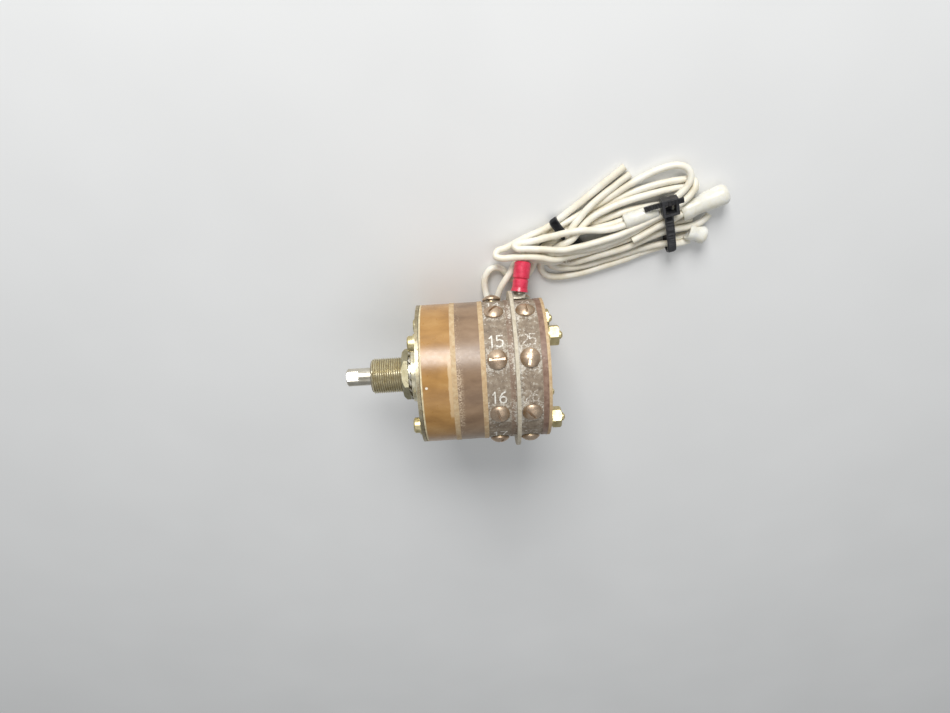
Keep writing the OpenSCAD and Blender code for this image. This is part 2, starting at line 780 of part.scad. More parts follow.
module rear_bush() {
    color("goldenrod") on_axis(0) rotate_extrude() polygon([
        [rear_journal_r + running_fit, bush_flange_x], [bush_flange_r, bush_flange_x], [bush_flange_r, rear_x],
        [bush_r, rear_x], [bush_r, back_x - bush_end], [rear_journal_r + running_fit, back_x - bush_end]
    ]);
}

module tie_bolts() {
    head_r = bolt_head_d / 2;
    head_edge = 0.5;
    head_top_x = bolt_head_x + bolt_head_t;
    color("palegoldenrod") for (a = bolt_angles) beside_axis(a, 0, bolt_circle_r) rotate_extrude() polygon([
        [0, head_top_x], [head_r - head_edge, head_top_x], [head_r, head_top_x - head_edge], [head_r, bolt_head_x],
        [bolt_r, bolt_head_x], [bolt_r, bolt_tip_x + tip_dome], [bolt_r - tip_dome, bolt_tip_x], [0, bolt_tip_x]
    ]);
}

module tie_bolt_washers() {
    color("khaki") for (a = bolt_angles) for (x = [plate_x, back_x - bolt_washer_t])
        beside_axis(a, x, bolt_circle_r) difference() {
            cylinder(h = bolt_washer_t, r = bolt_washer_d / 2);
            translate([0, 0, -cut]) cylinder(h = bolt_washer_t + 2 * cut, r = bolt_hole_r);
        }
}

module tie_bolt_nuts() {
    nut_turns = [12, 48, 5, 33];
    color("palegoldenrod") for (i = [0 : len(bolt_angles) - 1])
        beside_axis(bolt_angles[i], back_x - bolt_washer_t, bolt_circle_r)
            rotate([180, 0, nut_turns[i]]) hex_nut(bolt_nut_flats, bolt_nut_t, bolt_r + thread_clear);
}

// The bare end of a lead: an arc round the screw and a straight tail to the insulation
module bare_hook(end, arc) {
    hook_r = screw_d / 2 + bare_d / 2 + 0.2;
    end_angle = atan2(end[1], end[0]);
    end_r = norm(end);
    rotate([0, 0, end_angle]) union() {
        rotate_extrude(angle = arc) translate([hook_r, 0]) circle(r = bare_d / 2, $fn = 24);
        translate([hook_r - 0.05, 0, 0]) rotate([0, 90, 0]) cylinder(h = end_r - hook_r + 0.6, r = bare_d / 2, $fn = 24);
    }
}

module bare_ends() {
    end_a = [0.9, -4.9];
    end_b = [-2.2, -4.2];
    color("silver") outward(lead_terminal_angle, terminal_1_x, seat_r + bare_d / 2) union() {
        bare_hook(end_a, 140);
        bare_hook(end_b, -150);
    }
}

// Places children on the lug's seat, with their Y along its tongue
module on_lug_seat() {
    outward(lead_terminal_angle, terminal_2_x, seat_r) rotate([0, 0, lug_turn]) children();
}

// Places children at the bend of the lug, with their Z along the barrel
module at_lug_bend() {
    on_lug_seat() translate([0, lug_reach, lug_t / 2]) rotate([0, -barrel_side_lean, 0]) rotate([-barrel_lean, 0, 0])
        children();
}

module ring_lug() {
    tongue_gap = 0.2;
    barrel_overlap = 0.8;
    color("silver") union() {
        on_lug_seat() difference() {
            union() {
                cylinder(h = lug_t, r = lug_ring_d / 2);
                translate([-lug_tongue_w / 2, 0, 0]) cube([lug_tongue_w, lug_reach + lug_t / 2, lug_t]);
            }
            translate([0, 0, -cut]) cylinder(h = lug_t + 2 * cut, r = screw_d / 2 + hole_clear);
        }
        at_lug_bend() translate([-lug_tongue_w / 2, -lug_t / 2, 0])
            cube([lug_tongue_w, lug_t, sleeve_start - tongue_gap]);
        at_lug_bend() translate([0, 0, sleeve_start - tongue_gap - barrel_overlap])
            cylinder(h = sleeve_len - sleeve_neck, r = lug_barrel_d / 2);
    }
}

module lug_sleeve() {
    sleeve_r = sleeve_d / 2;
    bore = lug_barrel_d / 2 + push_fit;
    start = sleeve_start;
    end = sleeve_start + sleeve_len;
    color("crimson") at_lug_bend() rotate_extrude() polygon([
        [bore, start], [sleeve_r + 0.2, start], [sleeve_r - 0.2, start + 1.4], [sleeve_r - 0.2, start + 4],
        [sleeve_r - 0.5, start + 4.5], [sleeve_r, start + 5], [sleeve_r, end - 0.6], [sleeve_r - 0.6, end],
        [lead_d / 2, end], [lead_d / 2, end - sleeve_neck / 2], [bore, end - sleeve_neck / 2]
    ]);
}

// Unit vector along a route at point i
function route_dir(p, i) =
    let (d = p[min(i + 1, len(p) - 1)] - p[max(i - 1, 0)])
    d / norm(d);

// Ring of points round a route at point i
function route_ring(p, i, r) =
    let (t = route_dir(p, i), s0 = cross(t, [0, 0, 1]), s = s0 / norm(s0), n = cross(s, t))
    [for (k = [0 : tube_sides - 1]) p[i] + r * (cos(k * 360 / tube_sides) * s + sin(k * 360 / tube_sides) * n)];

// One closed tube of round section along a route
module tube(route, r) {
    last = len(route) - 1;
    points = [for (i = [0 : last]) each route_ring(route, i, r)];
    sides = [
        for (i = [0 : last - 1]) for (k = [0 : tube_sides - 1])
            let (a = i * tube_sides, b = a + tube_sides, n = (k + 1) % tube_sides) [a + k, a + n, b + n, b + k]
    ];
    start_cap = [[for (k = [tube_sides - 1 : -1 : 0]) k]];
    end_cap = [[for (k = [0 : tube_sides - 1]) last * tube_sides + k]];
    polyhedron(points = points, faces = concat(sides, start_cap, end_cap));
}

module lead_a() {
    color("ivory") tube(route_a, lead_d / 2);
}

module lead_b() {
    color("ivory") tube(route_b, lead_d / 2);
}

module lead_c() {
    color("ivory") tube(route_c, lead_d / 2);
}

module lower_loop() {
    color("ivory") tube(route_lower_loop, lead_d / 2);
}

module upper_loop() {
    color("ivory") tube(route_upper_loop, lead_d / 2);
}

module lead_tails() {
    color("ivory") union() {
        tube(route_tail_1, lead_d / 2);
        tube(route_tail_2, lead_d / 2);
    }
}

// Points of an arc of radius r round a centre, from angle a0 to a1
function arc(centre, r, a0, a1) = [for (k = [0 : hank_arc_steps]) let (a = a0 + (a1 - a0) * k / hank_arc_steps)
    centre + r * [cos(a), sin(a)]];

// The hank's outline is two arcs, joined where straight lines touch both
module hank() {
    axis = hank_right - hank_left;
    turn = atan2(axis[1], axis[0]);
    touch = acos((hank_left_r - hank_right_r) / norm(axis));
    color("ivory") translate([0, 0, hank_z]) linear_extrude(hank_h) polygon(concat(
        arc(hank_left, hank_left_r, turn + touch, turn + 360 - touch),
        arc(hank_right, hank_right_r, turn - touch, turn + touch)
    ));
}

// A strap round the hank with its head on top
module cable_tie(place, turn) {
    span = place[2];
    translate([place[0], place[1], floor_z]) rotate([0, 0, turn]) union() {
        difference() {
            translate([-strap_w / 2, -span / 2 - strap_t, 0]) cube([strap_w, span + 2 * strap_t, hank_h + 2 * strap_t]);
            translate([-strap_w, -span / 2, strap_t]) cube([2 * strap_w, span, hank_h]);
        }
        translate([-tie_head[0] / 2, -span / 2, hank_h + strap_t]) cube(tie_head);
    }
}

module cable_ties() {
    color("black") for (i = [0 : len(tie_places) - 1]) cable_tie(tie_places[i], tie_turns[i]);
}

// A closed-end cap lying along its length, with a round end
module splice_cap(at, turn, d, cap_len) {
    translate(at) rotate([0, 0, turn]) rotate([0, 90, 0]) union() {
        cylinder(h = cap_len - d / 2, r = d / 2);
        translate([0, 0, cap_len - d / 2]) sphere(r = d / 2);
    }
}

module large_cap() {
    color("whitesmoke") splice_cap(large_cap_at, large_cap_turn, large_cap_d, large_cap_len);
}

module small_cap() {
    color("whitesmoke") splice_cap(small_cap_at, small_cap_turn, small_cap_d, small_cap_len);
}

shaft();
spindle();
common_tube();
wiper_arm();
wiper_brush();
stop_arm();
deck_blades();
spring_washer();
mounting_bushing();
panel_nut();
lock_washer();
front_plate();
plate_gasket();
backing_plate();
element_housing();
element_core();
element_winding();
end_clips();
link_rods();
element_base();
thrust_washer();
stop_housing();
stop_pin();
insulating_plate();
deck_1();
deck_1_contacts();
barrier();
deck_2();
deck_2_contacts();
terminal_screws();
rear_plate();
rear_bush();
tie_bolts();
tie_bolt_washers();
tie_bolt_nuts();
bare_ends();
ring_lug();
lug_sleeve();
lead_a();
lead_b();
lead_c();
hank();
lower_loop();
upper_loop();
lead_tails();
cable_ties();
large_cap();
small_cap();
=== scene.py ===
# Looks of a two-deck wirewound rheostat with a tied hank of leads. Metres, shaft tip towards +X, +Z up.
import json
from math import cos, pi, radians, sin

import bmesh
import bpy
from mathutils import Matrix, Vector


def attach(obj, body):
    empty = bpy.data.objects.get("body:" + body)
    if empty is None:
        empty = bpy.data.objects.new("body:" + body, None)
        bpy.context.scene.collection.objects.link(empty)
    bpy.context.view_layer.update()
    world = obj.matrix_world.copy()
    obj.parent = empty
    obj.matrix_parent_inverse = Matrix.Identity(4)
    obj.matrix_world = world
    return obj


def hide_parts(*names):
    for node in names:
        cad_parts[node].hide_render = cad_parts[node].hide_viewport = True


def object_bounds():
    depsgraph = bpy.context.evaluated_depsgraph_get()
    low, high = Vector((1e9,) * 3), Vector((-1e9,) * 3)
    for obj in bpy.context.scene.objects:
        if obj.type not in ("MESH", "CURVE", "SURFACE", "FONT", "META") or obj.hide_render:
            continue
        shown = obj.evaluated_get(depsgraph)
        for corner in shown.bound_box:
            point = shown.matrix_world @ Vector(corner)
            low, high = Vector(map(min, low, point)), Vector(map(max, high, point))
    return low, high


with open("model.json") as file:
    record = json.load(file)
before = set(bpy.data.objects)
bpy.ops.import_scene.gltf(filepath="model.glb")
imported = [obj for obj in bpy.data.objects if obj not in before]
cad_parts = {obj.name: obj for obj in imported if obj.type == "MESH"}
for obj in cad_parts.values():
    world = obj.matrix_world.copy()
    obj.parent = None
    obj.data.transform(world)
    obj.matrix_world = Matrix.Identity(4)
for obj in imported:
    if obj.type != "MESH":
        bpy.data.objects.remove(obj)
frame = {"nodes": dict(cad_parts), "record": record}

cad_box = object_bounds()
node = frame["nodes"]
MM = 0.001
FLOOR_Z = cad_box[0].z


# ---------------------------------------------------------------- camera
def make_camera():
    elevation = radians(52)
    roll = radians(3.5)
    pitch = radians(1.10486)
    distance = 253 * MM
    middle_of_part = Vector((-22.6 * MM, 0, 0))
    towards = Vector((0, -cos(elevation), sin(elevation)))
    up = Vector((0, -sin(elevation), -cos(elevation)))
    forward = -towards * cos(pitch) + up * sin(pitch)
    level_up = up * cos(pitch) + towards * sin(pitch)
    right = Vector((-1, 0, 0)) * cos(roll) - level_up * sin(roll)
    top = Vector((-1, 0, 0)) * sin(roll) + level_up * cos(roll)
    data = bpy.data.cameras.new("camera")
    data.sensor_width = 36
    data.lens = 26.52632
    data.clip_start = 0.01
    data.clip_end = 20
    camera = bpy.data.objects.new("camera", data)
    place = Matrix((right, top, -forward)).transposed().to_4x4()
    place.translation = middle_of_part + towards * distance
    camera.matrix_world = place
    bpy.context.scene.collection.objects.link(camera)
    bpy.context.scene.camera = camera


make_camera()

# ---------------------------------------------------------------- materials


class Look:
    """A node material on a Principled shader. Patterns use object coordinates, in metres."""

    def __init__(self, name, rough=0.5, metallic=0.0, coat=0.0, coat_rough=0.2, ior=1.5, specular=0.5):
        self.material = bpy.data.materials.new(name)
        self.material.use_nodes = True
        self.tree = self.material.node_tree
        self.shader = self.tree.nodes["Principled BSDF"]
        self.set("Roughness", rough)
        self.set("Metallic", metallic)
        self.set("Coat Weight", coat)
        self.set("Coat Roughness", coat_rough)
        self.set("IOR", ior)
        self.set("Specular IOR Level", specular)
        self.where = self.tree.nodes.new("ShaderNodeTexCoord").outputs["Object"]
        self.colour = None
        self.normal = None

    def set(self, socket, value):
        self.shader.inputs[socket].default_value = value

    def link(self, source, target):
        self.tree.links.new(source, target)

    def noise(self, size, detail=3, rough=0.55, stretch=(1, 1, 1), shift=0.0):
        """Noise whose features are about size millimetres across."""
        place = self.tree.nodes.new("ShaderNodeMapping")
        place.inputs["Scale"].default_value = stretch
        place.inputs["Location"].default_value = (shift, shift * 0.7, shift * 1.3)
        self.link(self.where, place.inputs["Vector"])
        n = self.tree.nodes.new("ShaderNodeTexNoise")
        n.inputs["Scale"].default_value = 1000 / size
        n.inputs["Detail"].default_value = detail
        n.inputs["Roughness"].default_value = rough
        self.link(place.outputs["Vector"], n.inputs["Vector"])
        return n.outputs["Fac"]

    def ramp(self, value, *stops):
        r = self.tree.nodes.new("ShaderNodeValToRGB")
        r.color_ramp.elements.remove(r.color_ramp.elements[1])
        for i, (at, colour) in enumerate(stops):
            e = r.color_ramp.elements[0] if i == 0 else r.color_ramp.elements.new(at)
            e.position = at
            e.color = (*colour, 1) if len(colour) == 3 else colour
        self.link(value, r.inputs["Fac"])
        return r.outputs["Color"]

    def step(self, value, low, high):
        """0 below low, 1 above high."""
        m = self.tree.nodes.new("ShaderNodeMapRange")
        m.interpolation_type = "SMOOTHSTEP"
        m.inputs["From Min"].default_value = low
        m.inputs["From Max"].default_value = high
        self.link(value, m.inputs["Value"])
        return m.outputs["Result"]

    def math(self, kind, a, b=None):
        m = self.tree.nodes.new("ShaderNodeMath")
        m.operation = kind
        for i, v in enumerate((a, b)):
            if v is None:
                continue
            if isinstance(v, (int, float)):
                m.inputs[i].default_value = v
            else:
                self.link(v, m.inputs[i])
        return m.outputs["Value"]

    def axis(self, which):
        """One object coordinate in millimetres."""
        split = self.tree.nodes.new("ShaderNodeSeparateXYZ")
        self.link(self.where, split.inputs["Vector"])
        return self.math("MULTIPLY", split.outputs[which], 1000)

    def band(self, value, low, high, soft):
        """1 between low and high, falling to 0 over soft outside them."""
        return self.math(
            "MULTIPLY", self.step(value, low - soft, low),
            self.math("SUBTRACT", 1, self.step(value, high, high + soft))
        )

    def mix(self, mask, colour, strength=1.0):
        """Lays a colour over what is there, where the mask is 1."""
        m = self.tree.nodes.new("ShaderNodeMix")
        m.data_type = "RGBA"
        factor = self.math("MULTIPLY", mask, strength)
        self.link(factor, m.inputs["Factor"])
        self.link(self.colour, m.inputs["A"])
        if isinstance(colour, tuple):
            m.inputs["B"].default_value = (*colour, 1)
        else:
            self.link(colour, m.inputs["B"])
        self.colour = m.outputs["Result"]

    def spot(self, at, size):
        """1 near a point given in millimetres, with a ragged edge."""
        edge = 0.4
        place = self.tree.nodes.new("ShaderNodeMapping")
        place.inputs["Scale"].default_value = [1000 / s for s in size]
        place.inputs["Location"].default_value = [-a / s for a, s in zip(at, size)]
        self.link(self.where, place.inputs["Vector"])
        length = self.tree.nodes.new("ShaderNodeVectorMath")
        length.operation = "LENGTH"
        self.link(place.outputs["Vector"], length.inputs[0])
        ragged = self.math("ADD", length.outputs["Value"], self.math("MULTIPLY", self.noise(0.9, 4), edge))
        return self.math("SUBTRACT", 1, self.step(ragged, 0.8 + edge / 2, 1.1 + edge / 2))

    def edges(self, radius, low=0.03, high=0.2):
        """1 along edges, from the difference between a rounded normal and the true one."""
        bevel = self.tree.nodes.new("ShaderNodeBevel")
        bevel.samples = 4
        bevel.inputs["Radius"].default_value = radius * MM
        true = self.tree.nodes.new("ShaderNodeNewGeometry")
        dot = self.tree.nodes.new("ShaderNodeVectorMath")
        dot.operation = "DOT_PRODUCT"
        self.link(bevel.outputs["Normal"], dot.inputs[0])
        self.link(true.outputs["Normal"], dot.inputs[1])
        return self.step(self.math("SUBTRACT", 1, dot.outputs["Value"]), low, high)

    def rough(self, mask, low, high):
        m = self.tree.nodes.new("ShaderNodeMapRange")
        m.inputs["To Min"].default_value = low
        m.inputs["To Max"].default_value = high
        self.link(mask, m.inputs["Value"])
        self.link(m.outputs["Result"], self.shader.inputs["Roughness"])

    def bump(self, height, depth, strength=1.0):
        """Relief of depth millimetres."""
        b = self.tree.nodes.new("ShaderNodeBump")
        b.inputs["Strength"].default_value = strength
        b.inputs["Distance"].default_value = depth * MM
        self.link(height, b.inputs["Height"])
        if self.normal is not None:
            self.link(self.normal, b.inputs["Normal"])
        self.normal = b.outputs["Normal"]

    def done(self):
        if self.colour is not None:
            self.link(self.colour, self.shader.inputs["Base Color"])
        if self.normal is not None:
            self.link(self.normal, self.shader.inputs["Normal"])
        return self.material


def metal(name, light, dark, rough=(0.25, 0.5), grime=None, grime_at=(0.52, 0.68), edge=None, along=False):
    m = Look(name, metallic=1.0)
    broad = m.noise(3.2, 4)
    fine = m.noise(0.35, 3, stretch=(0.12, 1, 1) if along else (1, 1, 1))
    m.colour = m.ramp(
        m.math("ADD", m.math("MULTIPLY", broad, 0.7), m.math("MULTIPLY", fine, 0.3)), (0.36, dark),
        (0.62, light)
    )
    m.rough(m.noise(1.1, 4, shift=0.01), *rough)
    m.bump(fine, 0.012, 0.7)
    if edge:
        m.mix(m.edges(0.25), edge, 0.7)
    if grime:
        dirt = m.step(m.noise(0.8, 6, 0.65, shift=0.02), *grime_at)
        m.mix(dirt, grime, 0.85)
        less = m.math("MULTIPLY", dirt, 0.7)
        m.link(m.math("SUBTRACT", 1, less), m.shader.inputs["Metallic"])
    return m.done()


def laminate(name, light, dark, dirt, rough=0.55, layers=True):
    m = Look(name, rough)
    m.colour = m.ramp(m.noise(1.6, 5), (0.35, dark), (0.65, light))
    if layers:
        m.mix(m.step(m.math("SINE", m.math("MULTIPLY", m.axis("X"), 26)), 0.2, 0.9), dark, 0.35)
    m.mix(m.step(m.noise(0.5, 6, 0.7, shift=0.03), 0.55, 0.7), dirt, 0.6)
    m.mix(m.edges(0.2), light, 0.5)
    m.rough(m.noise(0.7, 3), rough - 0.12, rough + 0.2)
    m.bump(m.noise(0.25, 4), 0.02)
    return m.done()


def case_amber():
    m = Look("amber_moulding", 0.28, coat=0.3, coat_rough=0.25)
    m.colour = m.ramp(
        m.noise(6, 5, stretch=(0.5, 1, 1)), (0.34, (0.33, 0.165, 0.042)), (0.52, (0.43, 0.225, 0.062)),
        (0.68, (0.5, 0.285, 0.095))
    )
    m.mix(m.step(m.noise(0.8, 6, 0.7, shift=0.02), 0.6, 0.76), (0.56, 0.36, 0.17), 0.35)
    m.mix(m.step(m.noise(0.3, 5, 0.6, shift=0.05), 0.68, 0.75), (0.14, 0.06, 0.02), 0.5)
    ragged = m.math("ADD", m.axis("X"), m.math("MULTIPLY", m.noise(1.4, 5), 0.9))
    chipped = m.math("MULTIPLY", m.step(ragged, -12.85, -13.1), m.band(m.axis("Y"), -16.5, -0.5, 1.5))
    chipped = m.math("MULTIPLY", chipped, m.step(m.axis("Z"), 0, 3))
    m.mix(chipped, (0.66, 0.47, 0.26), 0.85)
    fleck_at = (-6.1, -10.7, 22)
    m.mix(m.spot(fleck_at, (0.5, 0.45, 0.4)), (0.9, 0.84, 0.72), 0.9)
    m.mix(m.edges(0.3), (0.5, 0.3, 0.13), 0.5)
    m.rough(m.noise(1.4, 5, shift=0.04), 0.2, 0.42)
    m.bump(m.noise(0.5, 4), 0.01)
    return m.done()


def case_mauve():
    m = Look("mauve_moulding", 0.36, coat=0.2, coat_rough=0.3)
    m.colour = m.ramp(
        m.noise(5, 5, stretch=(0.5, 1, 1)), (0.32, (0.205, 0.125, 0.07)), (0.52, (0.275, 0.175, 0.1)),
        (0.7, (0.335, 0.22, 0.132))
    )
    front_edge_x = -16.6
    near = m.math("ABSOLUTE", m.math("SUBTRACT", m.axis("X"), front_edge_x))
    near = m.math("SUBTRACT", 1, m.step(near, 0.3, 2.2))
    low = m.band(m.axis("Y"), -14, 4, 3)
    crumbs = m.step(
        m.math("ADD", m.noise(0.5, 6, 0.75, shift=0.02), m.math("MULTIPLY", low, 0.09)), 0.55, 0.63
    )
    m.mix(m.math("MULTIPLY", crumbs, near), (0.62, 0.48, 0.33), 0.85)
    m.mix(m.step(m.noise(0.32, 5, 0.6, shift=0.06), 0.66, 0.74), (0.46, 0.36, 0.28), 0.4)
    m.mix(m.edges(0.3), (0.4, 0.28, 0.2), 0.5)
    m.rough(m.noise(0.9, 5, shift=0.01), 0.26, 0.5)
    m.bump(m.noise(0.35, 4), 0.012)
    return m.done()


def deck_face():
    """Moulding under pale dust, thickest round the screws and the barrier, cleaner in strips at the rear."""
    m = Look("deck_moulding", 0.75, specular=0.35)
    m.colour = m.ramp(
        m.noise(2.2, 6, 0.6), (0.3, (0.19, 0.145, 0.105)), (0.5, (0.285, 0.225, 0.165)),
        (0.7, (0.4, 0.33, 0.25))
    )
    x = m.axis("X")
    barrier_x = -36.15
    screw_half_step = 22.5
    strip_1 = m.math("MULTIPLY", m.band(x, -35.6, -33.75, 0.15), 0.5)
    strips = m.math("MAXIMUM", strip_1, m.band(x, -46.4, -44.5, 0.12))
    smooth = m.ramp(m.noise(1.8, 5, shift=0.03), (0.35, (0.2, 0.115, 0.078)), (0.65, (0.32, 0.205, 0.15)))
    m.mix(strips, smooth, 0.95)
    angle = m.math("MULTIPLY", m.math("ARCTAN2", m.axis("Z"), m.axis("Y")), 180 / pi)
    near_screw = m.math(
        "SUBTRACT", 1, m.step(m.math("PINGPONG", m.math("ADD", angle, 360), screw_half_step), 8, 14)
    )
    near_barrier = m.math(
        "SUBTRACT", 1, m.step(m.math("ABSOLUTE", m.math("SUBTRACT", x, barrier_x)), 0.6, 3)
    )
    more = m.math("ADD", m.math("MULTIPLY", near_screw, 0.08), m.math("MULTIPLY", near_barrier, 0.1))
    more = m.math("SUBTRACT", more, m.math("MULTIPLY", strips, 0.12))
    grain = m.noise(1.15, 7, 0.78, shift=0.02)
    crust = m.step(m.math("ADD", grain, more), 0.56, 0.64)
    m.mix(crust, (0.62, 0.57, 0.48), 0.85)
    m.mix(
        m.step(m.math("ADD", m.noise(0.8, 6, 0.75, shift=0.08), more), 0.62, 0.69), (0.82, 0.79, 0.72),
        0.75
    )
    m.mix(m.step(m.noise(0.9, 6, 0.75, shift=0.11), 0.6, 0.68), (0.085, 0.062, 0.042), 0.75)
    m.mix(m.edges(0.3, 0.05, 0.25), (0.46, 0.37, 0.28), 0.4)
    m.rough(strips, 0.8, 0.4)
    m.bump(grain, 0.12)
    m.bump(m.noise(0.28, 5, 0.65), 0.04)
    return m.done()


def insulation():
    m = Look("lead_insulation", 0.4, coat=0.12, coat_rough=0.3, specular=0.45)
    m.colour = m.ramp(
        m.noise(8, 4), (0.3, (0.8, 0.73, 0.57)), (0.5, (0.88, 0.83, 0.7)), (0.7, (0.92, 0.89, 0.8))
    )
    m.mix(m.step(m.noise(3.2, 5, 0.6, shift=0.02), 0.6, 0.76), (0.7, 0.56, 0.36), 0.35)
    m.mix(m.step(m.noise(0.6, 5, 0.7, shift=0.07), 0.66, 0.75), (0.4, 0.29, 0.18), 0.3)
    stain_at = (-57.5, -30.8, -24.6)
    stain = m.math("MULTIPLY", m.spot(stain_at, (4.4, 3.2, 3)), m.step(m.noise(0.8, 5, 0.7), 0.42, 0.56))
    m.mix(stain, (0.22, 0.13, 0.06), 0.8)
    m.set("Subsurface Weight", 0.1)
    m.set("Subsurface Radius", (0.0012, 0.0009, 0.0006))
    m.rough(m.noise(1.2, 3), 0.32, 0.52)
    m.bump(m.noise(0.5, 3), 0.01)
    return m.done()


def white_cap():
    m = Look("white_nylon", 0.3, ior=1.46, specular=0.5)
    m.colour = m.ramp(m.noise(5, 3), (0.35, (0.76, 0.73, 0.62)), (0.65, (0.86, 0.85, 0.79)))
    m.mix(m.step(m.noise(2.4, 4, shift=0.03), 0.55, 0.74), (0.72, 0.65, 0.46), 0.4)
    m.set("Subsurface Weight", 0.4)
    m.set("Subsurface Radius", (0.004, 0.0038, 0.0032))
    m.rough(m.noise(0.9, 3, shift=0.01), 0.2, 0.38)
    m.bump(m.noise(2.5, 2), 0.02)
    return m.done()


def plastic(name, light, dark, rough, coat=0.0, dust=None):
    m = Look(name, coat=coat, coat_rough=0.25)
    m.colour = m.ramp(m.noise(1.6, 4), (0.35, dark), (0.65, light))
    if dust:
        m.mix(m.step(m.noise(0.35, 5, 0.7, shift=0.03), 0.57, 0.7), dust, 0.4)
    m.rough(m.noise(0.8, 4, shift=0.02), *rough)
    m.bump(m.noise(0.4, 3), 0.015)
    return m.done()


def bushing_look():
    """Worn champagne plating, with painted shade darkening the thread's grooves."""
    m = Look("bushing_plating", metallic=1.0)
    m.colour = m.ramp(m.noise(1.6, 5), (0.36, (0.74, 0.66, 0.44)), (0.62, (0.9, 0.85, 0.66)))
    radius = m.math("SQRT", m.math("ADD", m.math("POWER", m.axis("Y"), 2), m.math("POWER", m.axis("Z"), 2)))
    # painted shade: down in the thread's grooves the colour is darkened and made less metallic
    groove_shade_mask = m.math(
        "MULTIPLY", m.math("SUBTRACT", 1, m.step(radius, 5.86, 6.12)), m.step(m.axis("X"), 3.4, 3.6)
    )
    m.mix(groove_shade_mask, (0.17, 0.12, 0.055), 0.85)
    dirt = m.step(m.noise(0.8, 6, 0.7, shift=0.02), 0.58, 0.7)
    m.mix(dirt, (0.28, 0.19, 0.09), 0.6)
    m.link(
        m.math("SUBTRACT", 1, m.math("MULTIPLY", m.math("MAXIMUM", groove_shade_mask, dirt), 0.6)),
        m.shader.inputs["Metallic"]
    )
    m.rough(m.noise(0.9, 4, shift=0.01), 0.22, 0.45)
    m.bump(m.noise(0.35, 3), 0.012)
    return m.done()


LOOKS = {
    "bright_steel": metal(
        "bright_steel", (0.78, 0.74, 0.64), (0.6, 0.55, 0.44), (0.22, 0.4), (0.3, 0.22, 0.13),
        (0.6, 0.75), (0.88, 0.85, 0.76), along=True
    ),
    "nickelled_brass": metal(
        "nickelled_brass", (0.52, 0.48, 0.33), (0.36, 0.32, 0.19), (0.36, 0.56), (0.18, 0.12, 0.06),
        (0.56, 0.72), (0.74, 0.7, 0.54)
    ),
    "plated_steel": metal(
        "plated_steel", (0.58, 0.52, 0.36), (0.38, 0.31, 0.18), (0.32, 0.55), (0.24, 0.16, 0.09),
        (0.5, 0.7), (0.76, 0.7, 0.54)
    ),
    "phosphor_bronze": metal("phosphor_bronze", (0.66, 0.42, 0.24), (0.48, 0.28, 0.15)),
    "brass": metal("brass", (0.75, 0.58, 0.28), (0.55, 0.4, 0.17)),
    "screw_brass": metal(
        "screw_brass", (0.72, 0.56, 0.41), (0.5, 0.36, 0.25), (0.34, 0.55), (0.3, 0.23, 0.16),
        (0.5, 0.64), (0.74, 0.6, 0.44)
    ),
    "bolt_brass": metal(
        "bolt_brass", (0.78, 0.68, 0.4), (0.56, 0.46, 0.22), (0.28, 0.5), (0.3, 0.21, 0.1), (0.58, 0.72),
        (0.86, 0.78, 0.54)
    ),
    "tinned_copper": metal(
        "tinned_copper", (0.6, 0.57, 0.48), (0.4, 0.36, 0.28), (0.3, 0.5), (0.24, 0.17, 0.1)
    ),
    "resistance_wire": metal("resistance_wire", (0.5, 0.46, 0.4), (0.3, 0.27, 0.24), (0.3, 0.5)),
    "carbon": plastic("carbon", (0.05, 0.05, 0.05), (0.03, 0.03, 0.03), (0.6, 0.8)),
    "black_gasket": plastic(
        "black_gasket", (0.03, 0.028, 0.026), (0.015, 0.014, 0.013), (0.6, 0.85), dust=(0.12, 0.09, 0.06)
    ),
    "ceramic": plastic("ceramic", (0.82, 0.78, 0.7), (0.68, 0.63, 0.54), (0.5, 0.75)),
    "amber_moulding": case_amber(),
    "mauve_moulding": case_mauve(),
    "deck_moulding": deck_face(),
    "brown_laminate": laminate("brown_laminate", (0.24, 0.12, 0.06), (0.13, 0.06, 0.03), (0.3, 0.2, 0.12)),
    "tan_laminate": laminate("tan_laminate", (0.64, 0.49, 0.29), (0.5, 0.33, 0.17), (0.3, 0.2, 0.11)),
    "cream_laminate": laminate(
        "cream_laminate", (0.8, 0.7, 0.46), (0.6, 0.47, 0.26), (0.36, 0.25, 0.13), layers=False
    ),
    "red_sleeve": plastic(
        "red_sleeve", (0.78, 0.05, 0.11), (0.6, 0.02, 0.055), (0.22, 0.38), coat=0.35,
        dust=(0.9, 0.42, 0.46)
    ),
    "lead_insulation": insulation(),
    "white_nylon": white_cap(),
    "black_nylon": plastic(
        "black_nylon", (0.035, 0.035, 0.038), (0.012, 0.012, 0.014), (0.25, 0.5), dust=(0.16, 0.15, 0.13)
    ),
}
BARRIER_LOOK = laminate(
    "dusty_laminate", (0.66, 0.6, 0.48), (0.5, 0.43, 0.31), (0.36, 0.28, 0.2), rough=0.6
)
BUSHING_LOOK = bushing_look()


def number_look(name, worn):
    """White filling, broken where it has worn out of the engraving."""
    m = Look(name, 0.7)
    m.colour = m.ramp(m.noise(0.7, 4), (0.35, (0.72, 0.68, 0.58)), (0.65, (0.92, 0.9, 0.84)))
    m.mix(m.step(m.noise(0.55, 5, 0.7, shift=0.04), worn, worn + 0.07), (0.36, 0.29, 0.22), 0.92)
    m.bump(m.noise(0.3, 4), 0.03)
    return m.done()


NUMBER_LOOKS = {"1": number_look("number_fill", 0.54), "2": number_look("worn_number_fill", 0.42)}

for row in frame["record"]["subparts"]:
    mesh = node[row["node"]].data
    mesh.materials.clear()
    mesh.materials.append(BARRIER_LOOK if row["node"] == "barrier" else LOOKS[row["material_slot"]])


def add(name, mesh_or_curve, slot, body="body", look=None):
    piece = bpy.data.objects.new(name, mesh_or_curve)
    bpy.context.scene.collection.objects.link(piece)
    mesh_or_curve.materials.append(look or LOOKS[slot])
    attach(piece, body)
    return piece


